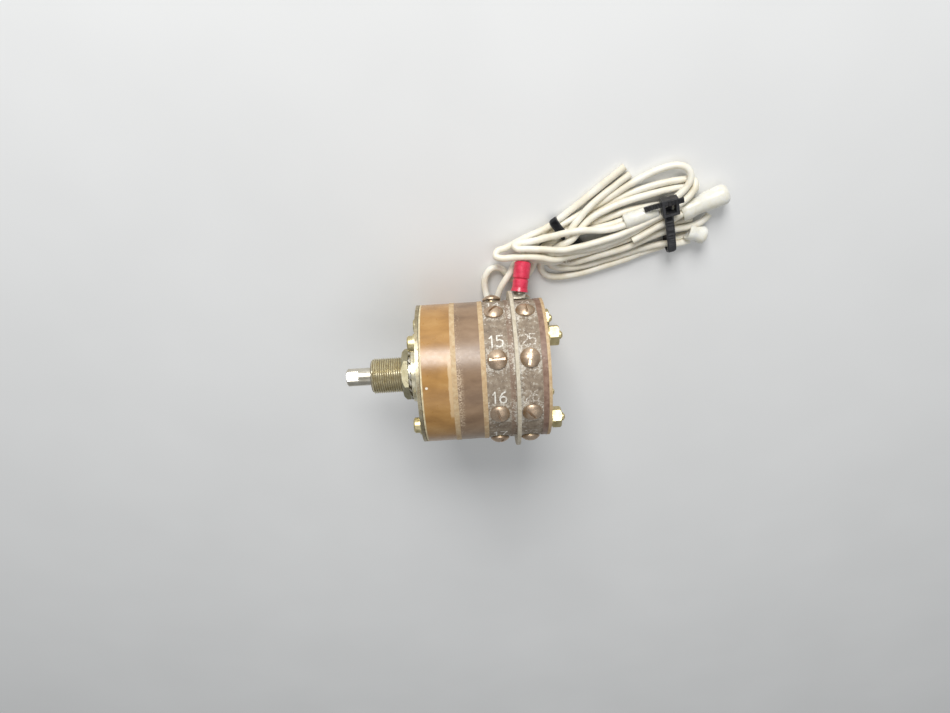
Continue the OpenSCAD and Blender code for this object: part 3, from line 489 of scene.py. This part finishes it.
def to_mesh(name, b, smooth=True):
    mesh = bpy.data.meshes.new(name)
    bmesh.ops.recalc_face_normals(b, faces=b.faces)
    b.to_mesh(mesh)
    b.free()
    for face in mesh.polygons:
        face.use_smooth = smooth
    return mesh


# ---------------------------------------------------------------- leads
# The routes of the leads in millimetres: strands traced on the photograph, then spaced apart by a program.
LEAD_D = 2.4
ROUTE_A = [
    (-28.9, -14.1, -21), (-28.6, -15.7, -22.7), (-28.1, -17.8, -23.9), (-27.8, -20, -24.6),
    (-27.9, -22.4, -25.1), (-28.7, -24.6, -25.5), (-30.3, -26.3, -25.9), (-32.6, -26.7, -26.3),
    (-34.7, -25.6, -26.4), (-36.1, -23.7, -26.4), (-37.6, -21.9, -26.4), (-39.7, -20.8, -26.3),
    (-42, -21.3, -26.2), (-43.8, -22.9, -26.2), (-45.2, -24.8, -26.3), (-46.2, -27, -26.4),
    (-47, -29.2, -26.4), (-47.9, -31.4, -26), (-48.9, -33.6, -25.6), (-50.2, -35.4, -24.8),
    (-52.3, -36.5, -24.3), (-54.6, -37.3, -24.9), (-56.7, -38.3, -25.9), (-59, -39.1, -26.4),
    (-61.2, -40.2, -26.5), (-63.4, -41.2, -26.3), (-65.6, -42.2, -26), (-67.8, -43, -25.6),
    (-70, -43.9, -25.4), (-72.2, -44.7, -25.2), (-74.4, -45.4, -25.2), (-76.6, -46.2, -25.1),
    (-78.9, -46.8, -25.2), (-81.2, -47.2, -25.3), (-83.6, -47.5, -25.4), (-85.9, -47.7, -25.6),
    (-88.3, -47.9, -25.8), (-90.7, -48, -25.8), (-93.1, -48.2, -25.7), (-95.5, -48.2, -25.4),
    (-97.8, -48.1, -25.2), (-100.2, -47.9, -24.8),
]
ROUTE_B = [
    (-32, -14.6, -20.5), (-32.3, -16.6, -21.7), (-33, -18.9, -22), (-34, -21.1, -22.2),
    (-35.3, -23, -22.7), (-36.7, -24.8, -23.5), (-38, -26.5, -24.5), (-39.3, -28.2, -25.7),
    (-41, -29.2, -25.7), (-42.9, -30.1, -24.9), (-44.9, -30.5, -23.7), (-47.2, -30.8, -22.8),
    (-49.4, -30.2, -22.7), (-51.6, -29.5, -23), (-53.6, -29, -23.8), (-55.9, -29, -24.2),
    (-58.1, -29.5, -24.8), (-60.4, -30, -25.3), (-62.6, -30.4, -25.7), (-64.9, -30.8, -25.9),
    (-67.2, -31.2, -26.1), (-69.5, -31.5, -26.2), (-71.8, -32, -26.2), (-74.1, -32.5, -26.3),
    (-76.4, -33, -26.3), (-78.7, -33.8, -26.3), (-81, -34.5, -26.2), (-83.2, -35.3, -26.2),
    (-85.4, -36.2, -26.2), (-87.6, -37.1, -26.1), (-89.9, -38, -26.1), (-92.1, -38.9, -26.1),
    (-94.3, -39.8, -26), (-96.6, -40.5, -26), (-98.9, -41.1, -26.1), (-101.3, -41.2, -26.3),
    (-102.5, -41.1, -26.4),
]
ROUTE_C = [
    (-41.9, -31.1, -21.5), (-42, -33, -22.6), (-42.6, -34.7, -23.7), (-43.8, -36.3, -24.7),
    (-45.6, -37.6, -24.8), (-47.8, -38.4, -24.5), (-50, -39, -24.1), (-52.3, -39.4, -23.5),
    (-54.8, -39.6, -23.5), (-56.8, -40.5, -24.4), (-59.6, -40.3, -24.4), (-61.9, -40.3, -24.1),
    (-64.2, -40.7, -24), (-66.5, -41.2, -23.9), (-68.8, -41.6, -23.9), (-71.1, -42, -24),
    (-73.4, -42.5, -24), (-75.6, -43.3, -23.8), (-77.8, -44.1, -23.7), (-80, -44.9, -23.6),
    (-82.2, -45.6, -23.5), (-84.5, -46.4, -23.4), (-86.7, -47.1, -23.4), (-89, -47.8, -23.4),
    (-91.2, -48.5, -23.4), (-92.4, -48.8, -23.5),
]
ROUTE_1 = [
    (-101, -45.6, -24.2), (-98.7, -45, -24), (-96.6, -44, -23.9), (-94.4, -42.8, -23.8),
    (-92.4, -41.6, -23.9), (-90.3, -40.5, -24), (-88.1, -39.6, -24), (-85.9, -38.6, -24),
    (-83.7, -37.7, -24.1), (-81.4, -36.9, -24.2), (-79.1, -36.1, -24.2), (-76.8, -35.3, -24.2),
    (-74.5, -34.6, -24.2), (-72.2, -33.8, -24.1), (-69.9, -33.2, -24), (-67.5, -32.7, -23.9),
    (-65.2, -32.2, -23.7), (-62.8, -31.9, -23.4), (-60.4, -31.6, -22.9), (-58, -31.5, -22.4),
    (-55.6, -31.3, -21.7), (-53.3, -31.4, -21), (-51, -32.1, -20.5), (-48.7, -32.9, -20.3),
    (-46.3, -33.4, -20.2), (-43.9, -33.6, -20.3), (-41.5, -33.7, -20.4), (-39.1, -33.5, -20.8),
    (-36.8, -33.2, -21.2), (-34.4, -33, -21.5), (-32.2, -33.6, -22.3), (-33, -35.1, -23.5),
    (-35.3, -35.5, -24.1), (-37.5, -36.3, -24.4), (-39.6, -37.3, -24.6), (-41.8, -38.4, -24.8),
    (-44, -39.4, -24.8), (-46.2, -40.3, -24.8), (-48.4, -41.2, -24.9), (-50.6, -42.2, -25),
    (-52.6, -43.4, -25.1), (-54.6, -44.7, -25.4), (-56.5, -46.1, -25.6), (-58.4, -47.5, -25.9),
    (-60.4, -48.9, -26.1), (-62.3, -50.3, -26.2), (-64.1, -51.8, -26.3), (-66, -53.3, -26.4),
    (-67.8, -54.8, -26.4), (-69.7, -56.4, -26.4), (-71.5, -57.9, -26.4), (-73.4, -59.4, -26.4),
    (-75.2, -61, -26.4), (-77.1, -62.5, -26.4),
]
ROUTE_2 = [
    (-108, -43.6, -25.2), (-107.3, -42.6, -25), (-105.5, -41.1, -24.7), (-103.3, -40.2, -24.4),
    (-101, -39.7, -24.2), (-98.6, -39.4, -24), (-96.2, -39.3, -23.8), (-93.9, -38.8, -23.8),
    (-91.6, -38.2, -23.8), (-89.3, -37.4, -23.7), (-87.1, -36.5, -23.8), (-84.9, -35.5, -23.8),
    (-82.8, -34.5, -23.9), (-80.6, -33.5, -24), (-78.4, -32.7, -24), (-76.1, -32, -24.1),
    (-73.8, -31.4, -24.1), (-71.5, -30.8, -24.1), (-69.2, -30.2, -24.2), (-67, -29.5, -24.3),
    (-64.8, -28.8, -24.5), (-62.7, -28.2, -24.7), (-60.7, -27.6, -25.1), (-58.7, -27.3, -25.7),
    (-56.7, -27.5, -26.2), (-55.1, -28.6, -26.4), (-54.3, -30.3, -26.2), (-54.4, -32.4, -25.8),
    (-55.4, -34.4, -25.3), (-56.7, -36.1, -24.3), (-57.5, -38.3, -23.5), (-58.2, -40.7, -22.3),
    (-59.4, -42.8, -22.8), (-60.9, -44.7, -23.2), (-62.5, -46.5, -23.7), (-64.1, -48.3, -24.1),
    (-65.9, -49.9, -24.6), (-67.7, -51.4, -25), (-69.6, -52.8, -25.4), (-71.5, -54.2, -25.8),
    (-73.4, -55.5, -26), (-75.3, -57, -26.2), (-77.2, -58.4, -26.3), (-79.1, -59.8, -26.4),
]
ROUTE_3 = [
    (-102.4, -36.1, -26), (-100.2, -35.3, -26.3), (-98, -34.3, -26.5), (-96, -33, -26.5),
    (-93.9, -31.8, -26.5), (-91.7, -30.8, -26.5), (-89.4, -30.2, -26.5), (-87.2, -29.5, -26.5),
    (-84.9, -28.7, -26.5), (-82.7, -27.8, -26.5), (-80.5, -27, -26.4), (-78.2, -26.3, -26.4),
    (-75.9, -25.5, -26.4), (-73.7, -24.9, -26.4), (-71.4, -24.2, -26.4), (-69.1, -23.5, -26.4),
    (-66.8, -22.8, -26.4), (-64.6, -22.2, -26.5), (-62.2, -21.7, -26.5), (-60, -21.4, -26.5),
    (-57.6, -21.1, -26.5), (-55.4, -21, -26.5), (-53.1, -21.3, -26.5), (-51, -22.1, -26.5),
    (-49.5, -23.7, -26.3), (-48.8, -25.8, -26), (-49.1, -27.9, -26.2), (-49.9, -30.1, -26.5),
    (-50.7, -32.3, -26.5), (-51.6, -34.5, -26.5), (-52.4, -36.9, -26.5), (-53.5, -39.1, -25.3),
    (-54.7, -41.9, -24.9), (-56.6, -43.2, -25.3), (-58.8, -44.2, -25.6), (-60.9, -45.3, -25.9),
    (-63, -46.4, -26), (-65.1, -47.5, -26.1), (-67.2, -48.7, -26.2), (-69.3, -49.9, -26.1),
    (-71.3, -51.2, -26), (-73.3, -52.5, -26), (-75.3, -53.8, -26), (-77.3, -55.1, -26),
    (-79.3, -56.3, -26), (-81.4, -57.5, -26.1), (-83.5, -58.5, -26.2), (-85.6, -59.5, -26.2),
    (-87.7, -60.5, -26.1), (-89.9, -61.3, -26), (-92, -61.9, -25.8), (-94.2, -62.3, -25.5),
    (-96.3, -62.1, -25), (-98, -61.2, -24.6), (-99.1, -59.5, -24), (-99.1, -57.5, -23.4),
    (-98.1, -55.6, -22.9), (-96.6, -54, -22.5), (-94.9, -52.6, -22.1), (-93.1, -51.3, -21.7),
    (-91.1, -50.1, -21.4), (-89.1, -49, -21.3), (-87, -47.9, -21.1), (-84.9, -46.8, -21.1),
    (-82.8, -45.7, -21.1), (-80.7, -44.7, -21.2), (-78.5, -43.8, -21.3), (-76.3, -42.9, -21.4),
    (-74, -42.3, -21.4), (-71.7, -42, -21.3), (-69.3, -41.9, -21.2), (-67, -42.2, -21),
    (-64.6, -42.5, -20.7), (-62.2, -42.8, -20.3), (-59.8, -42.5, -20.4), (-57.4, -42.1, -20.6),
    (-55, -41.5, -20.9), (-52.7, -40.8, -21.2), (-50.4, -40.1, -21.6), (-48.1, -39.4, -21.9),
    (-45.8, -38.9, -22.1), (-43.4, -38.4, -22.4), (-41, -38.1, -22.5), (-38.8, -37.9, -21.7),
    (-39.9, -36.9, -20.6), (-42.3, -36.9, -20.3), (-44.7, -36.7, -20.3), (-47.1, -36.5, -20.2),
    (-49.5, -36.3, -20.2), (-51.9, -36, -20.1), (-54.3, -35.8, -20.1), (-56.7, -35.7, -20),
    (-59.1, -36, -20.2), (-61.5, -36.3, -20.4), (-63.8, -36.7, -20.5), (-66.2, -37.2, -20.7),
    (-68.5, -37.7, -20.8), (-70.9, -38.3, -20.9), (-73.2, -38.9, -21), (-75.5, -39.6, -21.1),
    (-77.7, -40.5, -21.1), (-79.9, -41.5, -21.1), (-82.1, -42.5, -21.1), (-84.2, -43.6, -21.1),
    (-86.3, -44.7, -21), (-88.4, -45.8, -21), (-90.4, -47, -21), (-92.5, -48.1, -21.1),
    (-94.6, -49.2, -21.3), (-96.6, -50.3, -21.7), (-98.4, -51.6, -22.1), (-99.9, -53.1, -22.7),
    (-101, -54.9, -23.4), (-100.9, -56.6, -24.8), (-98.9, -57, -25.7), (-96.7, -56.8, -26),
    (-94.4, -56.5, -26.2), (-92.2, -56.1, -26.3), (-89.9, -55.7, -26.4), (-87.6, -55.2, -26.4),
    (-85.3, -54.6, -26.4), (-83, -54, -26.4), (-80.8, -53.3, -26.4), (-78.6, -52.4, -26.5),
    (-76.4, -51.4, -26.5), (-74.3, -50.3, -26.5), (-72.3, -49, -26.5), (-70.3, -47.8, -26.5),
    (-68.3, -46.6, -26.5), (-66.3, -45.4, -26.5), (-64.2, -44.3, -26.5), (-62.2, -43.3, -26.4),
    (-60.1, -42.3, -26.5), (-57.9, -41.5, -26.5), (-55.6, -40.6, -26.5), (-52.5, -40.4, -26.5),
    (-50.7, -38.6, -26.5), (-48.8, -37.1, -26.4), (-46.9, -35.6, -26.4), (-44.7, -34.8, -26.4),
    (-42.5, -33.8, -26), (-43.1, -32.7, -24.7), (-45.4, -32.8, -24), (-47.8, -33.1, -23.6),
    (-50, -33.4, -22.7), (-52.4, -33.8, -21.9), (-54.9, -33.7, -21.7), (-57.3, -33.8, -22),
    (-59.7, -33.9, -22.2), (-62.1, -34, -22.4), (-64.4, -34.2, -22.4), (-66.8, -34.6, -22.5),
    (-69.1, -35.1, -22.5), (-71.4, -35.7, -22.6), (-73.7, -36.4, -22.7), (-76, -37.2, -22.8),
    (-78.2, -38.1, -22.8), (-80.3, -39.1, -22.9), (-82.5, -40.2, -22.9), (-84.6, -41.4, -23),
    (-86.7, -42.6, -23), (-88.7, -43.8, -22.9), (-90.8, -45, -22.9), (-92.9, -46.2, -22.8),
    (-95, -47.3, -22.8), (-97.2, -48.3, -22.8),
]
ROUTE_4 = [
    (-102.3, -33.7, -25.3), (-100, -33.2, -24.9), (-97.7, -33.1, -24.4), (-95.2, -33.4, -24.3),
    (-92.8, -33.3, -24.6), (-90.4, -32.8, -25), (-88.1, -32.1, -25.4), (-85.8, -31.4, -25.6),
    (-83.5, -30.7, -25.9), (-81.2, -29.9, -26), (-79, -29.2, -26.1), (-76.7, -28.4, -26.2),
    (-74.4, -27.8, -26.2), (-72.1, -27.2, -26.3), (-69.8, -26.5, -26.3), (-67.5, -25.9, -26.2),
    (-65.2, -25.4, -26.2), (-63, -25, -26.2), (-60.7, -24.8, -26.1), (-58.4, -24.9, -26),
    (-56.3, -25.1, -25.9), (-54.2, -25.7, -25.7), (-52.4, -26.9, -25.5), (-51.7, -29, -25.3),
    (-52, -31.2, -24.7), (-52.9, -33.3, -24.2), (-54.1, -35, -23.3), (-55.5, -36.6, -22.2),
    (-57.4, -37.9, -21.2), (-59.5, -39.3, -21.2), (-61.1, -41, -21.9), (-62.7, -42.7, -22.7),
    (-64.4, -44.4, -23.1), (-66.3, -45.9, -23.4), (-68.3, -47.1, -23.6), (-70.5, -48.1, -23.7),
    (-72.7, -49, -23.9), (-74.9, -49.8, -24.2), (-77.2, -50.5, -24.4), (-79.5, -51.1, -24.6),
    (-81.8, -51.7, -24.7), (-84.1, -52.1, -24.9), (-86.4, -52.6, -25.1), (-88.8, -53, -25.2),
    (-91.1, -53.4, -25.4), (-93.5, -53.7, -25.6), (-95.8, -54, -25.8), (-98.2, -54.2, -25.8),
    (-100.5, -54.2, -25.7), (-102.9, -54, -25.2),
]
ROUTE_5 = [
    (
        -108.3, -50.6, -23.6
    ), (-106.5, -49.7, -23.5), (-104.3, -48.8, -23.1), (-102.1, -47.9, -22.7), (-99.9, -47, -22.3),
    (-97.7, -46.1, -21.9), (-95.5, -45.2, -21.6), (-93.3, -44.2, -21.4), (-91.2, -43.1, -21.4),
    (-89.1, -41.9, -21.5), (-87.1, -40.6, -21.6), (-85, -39.3, -21.6), (-83, -38.1, -21.7),
    (-80.9, -36.9, -21.7),
]


def smooth_route(points, step=0.6):
    """Points in metres, evenly spaced on a smooth curve through a route in millimetres."""
    p = [Vector(q) for q in points]
    p = [2 * p[0] - p[1], *p, 2 * p[-1] - p[-2]]
    line = []
    for a, b, c, d in zip(p, p[1:], p[2:], p[3:]):
        n = max(2, round((c - b).length / step))
        for i in range(n):
            t = i / n
            squared = (2 * a - 5 * b + 4 * c - d) * t * t
            cubed = (3 * b - a - 3 * c + d) * t ** 3
            line.append(0.5 * (2 * b + (c - a) * t + squared + cubed))
    line.append(p[-2])
    return [q * MM for q in line]


def lead(name, points, hidden):
    line = smooth_route(points)
    curve = bpy.data.curves.new(name, "CURVE")
    curve.dimensions = "3D"
    curve.bevel_depth = LEAD_D / 2 * MM
    curve.bevel_resolution = 4
    curve.use_fill_caps = True
    spline = curve.splines.new("POLY")
    spline.points.add(len(line) - 1)
    for point, q in zip(spline.points, line):
        point.co = (*q, 1)
    spline.use_smooth = True
    piece = add(name, curve, "lead_insulation")
    if hidden:
        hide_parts(*hidden)
    length = sum((b - a).length for a, b in zip(line, line[1:]))
    return piece, line[0], length


LEADS = {name: lead(name, route, hidden) for name, route, hidden in [
    ("lead_to_terminal_13", ROUTE_A, ["lead_a"]),
    ("lead_to_terminal_13_too", ROUTE_B, ["lead_b"]),
    ("lead_to_lug", ROUTE_C, ["lead_c"]),
    ("cut_lead_1", ROUTE_1, []),
    ("cut_lead_2", ROUTE_2, ["lead_tails"]),
    ("cut_lead_3", ROUTE_5, []),
    ("long_lead", ROUTE_3, ["hank", "upper_loop"]),
    ("looped_lead", ROUTE_4, ["lower_loop"]),
]}


# ---------------------------------------------------------------- ties, caps and sleeve
def sweep(b, line, sides, section, closed=False):
    """Skins a section, given as a function of the station to 2D points, along frames (origin, u, v)."""
    rings = []
    for i, (origin, u, v) in enumerate(line):
        rings.append([b.verts.new(origin + u * s + v * t) for s, t in section(i)])
    pairs = list(zip(rings, rings[1:])) + ([(rings[-1], rings[0])] if closed else [])
    for a, c in pairs:
        for k in range(sides):
            b.faces.new((a[k], a[(k + 1) % sides], c[(k + 1) % sides], c[k]))
    if not closed:
        b.faces.new(rings[0][::-1])
        b.faces.new(rings[-1])


def lathe(name, profile, place, slot):
    """A turned piece: profile points are (along, radius) in millimetres, about the local X axis."""
    steps = 48
    b = bmesh.new()
    rings = []
    for along, r in profile:
        if r <= 0:
            rings.append([b.verts.new(place @ Vector((along * MM, 0, 0)))])
        else:
            angles = [2 * pi * k / steps for k in range(steps)]
            circle = [Vector((along * MM, r * MM * cos(a), r * MM * sin(a))) for a in angles]
            rings.append([b.verts.new(place @ q) for q in circle])
    for a, c in zip(rings, rings[1:]):
        for k in range(steps):
            n = (k + 1) % steps
            if len(a) == 1:
                b.faces.new((a[0], c[n], c[k]))
            elif len(c) == 1:
                b.faces.new((a[k], a[n], c[0]))
            else:
                b.faces.new((a[k], a[n], c[n], c[k]))
    return add(name, to_mesh(name, b), slot)


def pointing(at, towards):
    """A frame with its X along towards, at a point in millimetres."""
    x = Vector(towards).normalized()
    y = Vector((0, 0, 1)).cross(x).normalized()
    m = Matrix((x, y, x.cross(y))).transposed().to_4x4()
    m.translation = Vector(at) * MM
    return m


def in_plan(degrees):
    return (cos(radians(degrees)), sin(radians(degrees)), 0)


LARGE = lathe("large_splice_cap", [
    (0.6, 0), (0.6, 2.5), (0, 2.7), (0, 3.2), (0.3, 3.4), (3.5, 3.3), (4.6, 3.05), (7.0, 3.05), (8.2, 3.45),
    (12.5, 3.6), (14.6, 3.65), (15.6, 3.4), (16.4, 2.7), (16.7, 1.9), (16.75, 1.2), (16.6, 0.8), (16.6, 0),
], pointing((-97.6, -45.6, -23.8), in_plan(203)), "white_nylon")
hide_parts("large_cap")
SMALL = lathe("small_splice_cap", [
    (0.5, 0), (0.5, 2.1), (0, 2.3), (0, 2.9), (0.3, 3.1), (2.0, 3.0), (2.8, 2.8), (4.0, 2.9),
    (5.4, 3.2), (6.4, 3.1), (7.0, 2.5), (7.25, 1.6), (7.3, 0.9), (7.1, 0.6), (7.1, 0),
], pointing((-100.8, -38, -24.4), in_plan(161)), "white_nylon")
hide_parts("small_cap")


def tie(name, centre, turn, half_y, low_z, high_z, width, head_at, tail):
    """A ribbed strap round the hank, with its head and the cut end of the strap."""
    b = bmesh.new()
    along = Matrix.Rotation(radians(turn), 3, "Z")
    count, squareness = 140, 3.0
    tall = (high_z - low_z) / 2
    loop = []
    for i in range(count):
        c, d = cos(2 * pi * i / count), sin(2 * pi * i / count)
        y = half_y * abs(c) ** (2 / squareness) * (1 if c > 0 else -1)
        z = tall * abs(d) ** (2 / squareness) * (1 if d > 0 else -1)
        loop.append(Vector((0, y, z)))
    line = []
    for i, q in enumerate(loop):
        t = (loop[(i + 1) % count] - loop[i - 1]).normalized()
        out = Vector((0, t.z, -t.y))
        if out.dot(q) < 0:
            out = -out
        origin = (along @ q + Vector((*centre, low_z + tall))) * MM
        line.append((origin, along @ Vector((1, 0, 0)) * MM, (along @ out) * MM))
    w = width / 2

    def ribbed(i):
        rim = 0.6
        top = 0.8 if i % 2 else 0.5
        ridge = [(w - 0.45, rim), (w - 0.5, top), (0.5 - w, top), (0.45 - w, rim)]
        return [(-w, 0), (w, 0), (w, rim), *ridge, (-w, rim)]

    sweep(b, line, 8, ribbed, closed=True)
    strap = add(name + "_strap", to_mesh(name + "_strap", b, False), "black_nylon")
    # the head: a block with a window through it
    b = bmesh.new()
    hx = 2.9
    hy = 3.1
    h = 3.4
    outer = [(-hx, -hy), (hx, -hy), (hx, hy), (-hx, hy)]
    inner = [(-1.7, -1.5), (1.7, -1.5), (1.7, 2.1), (-1.7, 2.1)]
    place = Matrix.Translation(Vector(head_at) * MM) @ Matrix.Rotation(radians(turn), 4, "Z")

    def corners(ring, z):
        return [b.verts.new(place @ Vector((x * MM, y * MM, z * MM))) for x, y in ring]

    o0, i0, o1, i1 = [corners(ring, z) for z in (0, h) for ring in (outer, inner)]
    for k in range(4):
        m = (k + 1) % 4
        b.faces.new((o0[k], o0[m], o1[m], o1[k]))
        b.faces.new((i0[m], i0[k], i1[k], i1[m]))
        b.faces.new((o1[k], o1[m], i1[m], i1[k]))
        b.faces.new((o0[m], o0[k], i0[k], i0[m]))
    head = add(name + "_head", to_mesh(name + "_head", b, False), "black_nylon")
    bevel = head.modifiers.new("bevel", "BEVEL")
    bevel.width = 0.25 * MM
    bevel.segments = 2
    # the strap's cut end, out of the head
    b = bmesh.new()
    points = smooth_route(tail, 0.5)
    line = []
    for i, q in enumerate(points):
        t = (points[min(i + 1, len(points) - 1)] - points[max(i - 1, 0)]).normalized()
        side = Vector((0, 0, 1)).cross(t).normalized()
        line.append((q, side * MM, side.cross(t) * -MM))

    def notched(i):
        half = 0.9
        top = 0.75 if i % 2 else 0.5
        return [(-half, 0), (half, 0), (half, top), (-half, top)]

    sweep(b, line, 4, notched)
    end = add(name + "_end", to_mesh(name + "_end", b, False), "black_nylon")
    return [strap, head, end]


TIE_1 = tie(
    "left_tie", centre=(-56.4, -40.3), turn=37, half_y=5.5, low_z=-26.8, high_z=-22.9, width=3,
    head_at=(-60.3, -35, -27.3),
    tail=[(-58.6, -37, -26.6), (-60.2, -34.6, -26.2), (-61.4, -32.6, -26.4)],
)
TIE_2 = tie(
    "right_tie", centre=(-93.2, -41.3), turn=12, half_y=9.6, low_z=-26.8, high_z=-19.8, width=3,
    head_at=(-91.7, -50.6, -20.4),
    tail=[
        (-83.6, -49.3, -20.2), (-86.2, -50.6, -19.2), (-88.6, -51.7, -18.2),
        (-91, -52.5, -17.4), (-93.6, -53.2, -17), (-95.6, -53.7, -17),
    ],
)
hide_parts("cable_ties")

SPLICE = lathe("splice_sleeve", [
    (0, 1.25), (0, 2.3), (0.5, 2.6), (6, 2.7), (11.6, 2.6), (12, 2.3), (12, 1.25),
], pointing((-77.5, -43.9, -22.4), (-12, -4.4, 0.3)), "white_nylon")


# ---------------------------------------------------------------- the bushing's thread
def bushing():
    """The bushing with its real thread of 32 turns to the inch, in the shape of its solid elsewhere."""
    front = 14.8
    r = 6.35
    pitch = 0.79375
    depth = 0.49
    bore = 3.215
    nut_front = 3.5
    relief = 0.7
    chamfer = 0.8
    back = -5.35
    steps = 96
    per_turn = 12
    profile = [
        (back, bore), (back, 8.8), (-4.75, 8.8), (-4.75, 8), (-2.85, 8), (-2.85, 12.2), (-2.65, 12.4),
        (-1.65, 12.4), (-1.45, 12.2), (-1.45, 10), (-0.15, 10), (0, 9.85), (0, r),
        (nut_front - 0.6, r), (nut_front - 0.6, r - relief), (nut_front - 0.05, r - relief),
    ]
    b = bmesh.new()
    rings = []

    def ring(x, radii):
        angles = [2 * pi * k / steps for k in range(steps)]
        circle = [Vector((x, rr * cos(a), rr * sin(a))) for rr, a in zip(radii, angles)]
        rings.append([b.verts.new(q * MM) for q in circle])

    def thread_radius(x, k):
        phase = (x / pitch - k / steps) % 1
        wave = min(1, max(0, abs(2 * phase - 1) * 1.25 - 0.12))
        return min(r - depth * wave, r - chamfer + (front - x))

    for x, rr in profile:
        ring(x, [rr] * steps)
    count = round((front - nut_front) / pitch * per_turn)
    for i in range(count + 1):
        x = nut_front + (front - nut_front) * i / count
        ring(x, [thread_radius(x, k) for k in range(steps)])
    for x, rr in [(front, r - chamfer), (front, bore + 0.3), (front - 0.3, bore), (back, bore)]:
        ring(x, [rr] * steps)
    for a, c in zip(rings, rings[1:]):
        for k in range(steps):
            n = (k + 1) % steps
            b.faces.new((a[k], a[n], c[n], c[k]))
    bmesh.ops.remove_doubles(b, verts=b.verts, dist=1e-7)
    mesh = to_mesh("bushing_with_thread", b)
    mesh.set_sharp_from_angle(angle=radians(28))
    piece = add("bushing_with_thread", mesh, "nickelled_brass", look=BUSHING_LOOK)
    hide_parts("mounting_bushing")


bushing()

# ---------------------------------------------------------------- terminal numbers
STROKES = {
    "1": [[(0.05, 1.25), (0.35, 1.6), (0.35, 0)]],
    "2": [
        [
            (0, 1.25), (0.08, 1.5), (0.4, 1.6), (0.75, 1.5), (0.85, 1.2), (0.7, 0.85), (0.25, 0.4),
            (0, 0), (0.85, 0)
        ]
    ],
    "3": [
        [
            (0, 1.45), (0.4, 1.6), (0.78, 1.45), (0.82, 1.15), (0.6, 0.88), (0.3, 0.84), (0.6, 0.8),
            (0.85, 0.52), (0.8, 0.18), (0.4, 0), (0, 0.15)
        ]
    ],
    "4": [[(0.62, 0), (0.62, 1.6), (0, 0.5), (0.88, 0.5)]],
    "5": [
        [
            (0.8, 1.6), (0.1, 1.6), (0.05, 0.92), (0.45, 1.02), (0.8, 0.85), (0.87, 0.5), (0.72, 0.12),
            (0.38, 0), (0, 0.14)
        ]
    ],
    "6": [
        [
            (0.72, 1.58), (0.35, 1.35), (0.08, 0.9), (0.02, 0.45), (0.15, 0.1), (0.45, 0), (0.78, 0.12),
            (0.87, 0.48), (0.75, 0.82), (0.45, 0.93), (0.1, 0.75)
        ]
    ],
    "7": [[(0, 1.6), (0.86, 1.6), (0.5, 0.8), (0.32, 0)]],
    "8": [
        [
            (0.43, 0.86), (0.1, 1.05), (0.06, 1.35), (0.25, 1.58), (0.62, 1.58), (0.8, 1.35),
            (0.76, 1.05), (0.43, 0.86), (0.05, 0.62), (0, 0.28), (0.2, 0.02), (0.66, 0.02), (0.87, 0.28),
            (0.82, 0.62), (0.43, 0.86)
        ]
    ],
}


def stroke_vertices(b, a, c, place):
    """One stroke between two points as a strip that follows the deck's round face."""
    half = 0.24
    d = (c - a).normalized()
    side = Vector((-d.y, d.x)) * half
    a = a - d * half * 0.7
    c = c + d * half * 0.7
    n = max(1, round((c - a).length / 0.5))
    rows = []
    for j in range(n + 1):
        p = a.lerp(c, j / n)
        rows.append([b.verts.new(place(q)) for q in (p + side, p - side)])
    for e, f in zip(rows, rows[1:]):
        b.faces.new((e[0], e[1], f[1], f[0]))


def numbers(name, tens, x0):
    """Engraved and filled numbers beside the screws, laid on the face of a deck."""
    b = bmesh.new()
    r = 24.33
    size = 2.5
    for i, unit in enumerate("87654321"):
        middle = radians(45 * i + 14.8)

        def place(q, middle=middle):
            angle = middle + q.y / r
            return Vector((x0 - q.x, r * cos(angle), r * sin(angle))) * MM

        for left, digit in ((-2.25, tens), (0.15, unit)):
            for line in STROKES[digit]:
                points = [Vector((left + s * size, (t - 0.8) * size)) for s, t in line]
                for a, c in zip(points, points[1:]):
                    stroke_vertices(b, a, c, place)
    mesh = bpy.data.meshes.new(name)
    b.to_mesh(mesh)
    b.free()
    add(name, mesh, "deck_moulding", look=NUMBER_LOOKS[tens])


numbers("numbers_of_deck_1", "1", -29.8)
numbers("numbers_of_deck_2", "2", -40.6)


# ---------------------------------------------------------------- floor, light and world
def stage():
    b = bmesh.new()
    bmesh.ops.create_grid(
        b, x_segments=2, y_segments=2, size=1.5, matrix=Matrix.Translation((0, 0, FLOOR_Z))
    )
    mesh = bpy.data.meshes.new("floor")
    b.to_mesh(mesh)
    b.free()
    floor = bpy.data.objects.new("floor", mesh)
    look = Look("floor", 0.9, specular=0.1)
    look.colour = look.ramp(look.noise(60, 2), (0.3, (0.86, 0.86, 0.85)), (0.7, (0.89, 0.89, 0.88)))
    mesh.materials.append(look.done())
    bpy.context.scene.collection.objects.link(floor)


def area_light(name, direction, distance, size, watts):
    data = bpy.data.lights.new(name, "AREA")
    data.shape = "SQUARE"
    data.size = size
    data.energy = watts
    lamp = bpy.data.objects.new(name, data)
    d = Vector(direction).normalized()
    aim = Vector((-0.04, -0.02, 0))
    lamp.location = aim + d * distance
    lamp.rotation_mode = "QUATERNION"
    lamp.rotation_quaternion = (-d).to_track_quat("-Z", "Y")
    bpy.context.scene.collection.objects.link(lamp)


stage()
area_light("key", direction=(0.08, -0.88, 0.47), distance=0.7, size=0.3, watts=4.5)
area_light("overhead", direction=(-0.2, 0.1, 1), distance=0.8, size=0.6, watts=1.0)
world = bpy.data.worlds.new("world")
world.use_nodes = True
background = world.node_tree.nodes["Background"]
background.inputs["Color"].default_value = (0.94, 0.97, 1, 1)
background.inputs["Strength"].default_value = 0.29
bpy.context.scene.world = world
bpy.context.scene.view_settings.view_transform = "Standard"

bpy.context.view_layer.update()
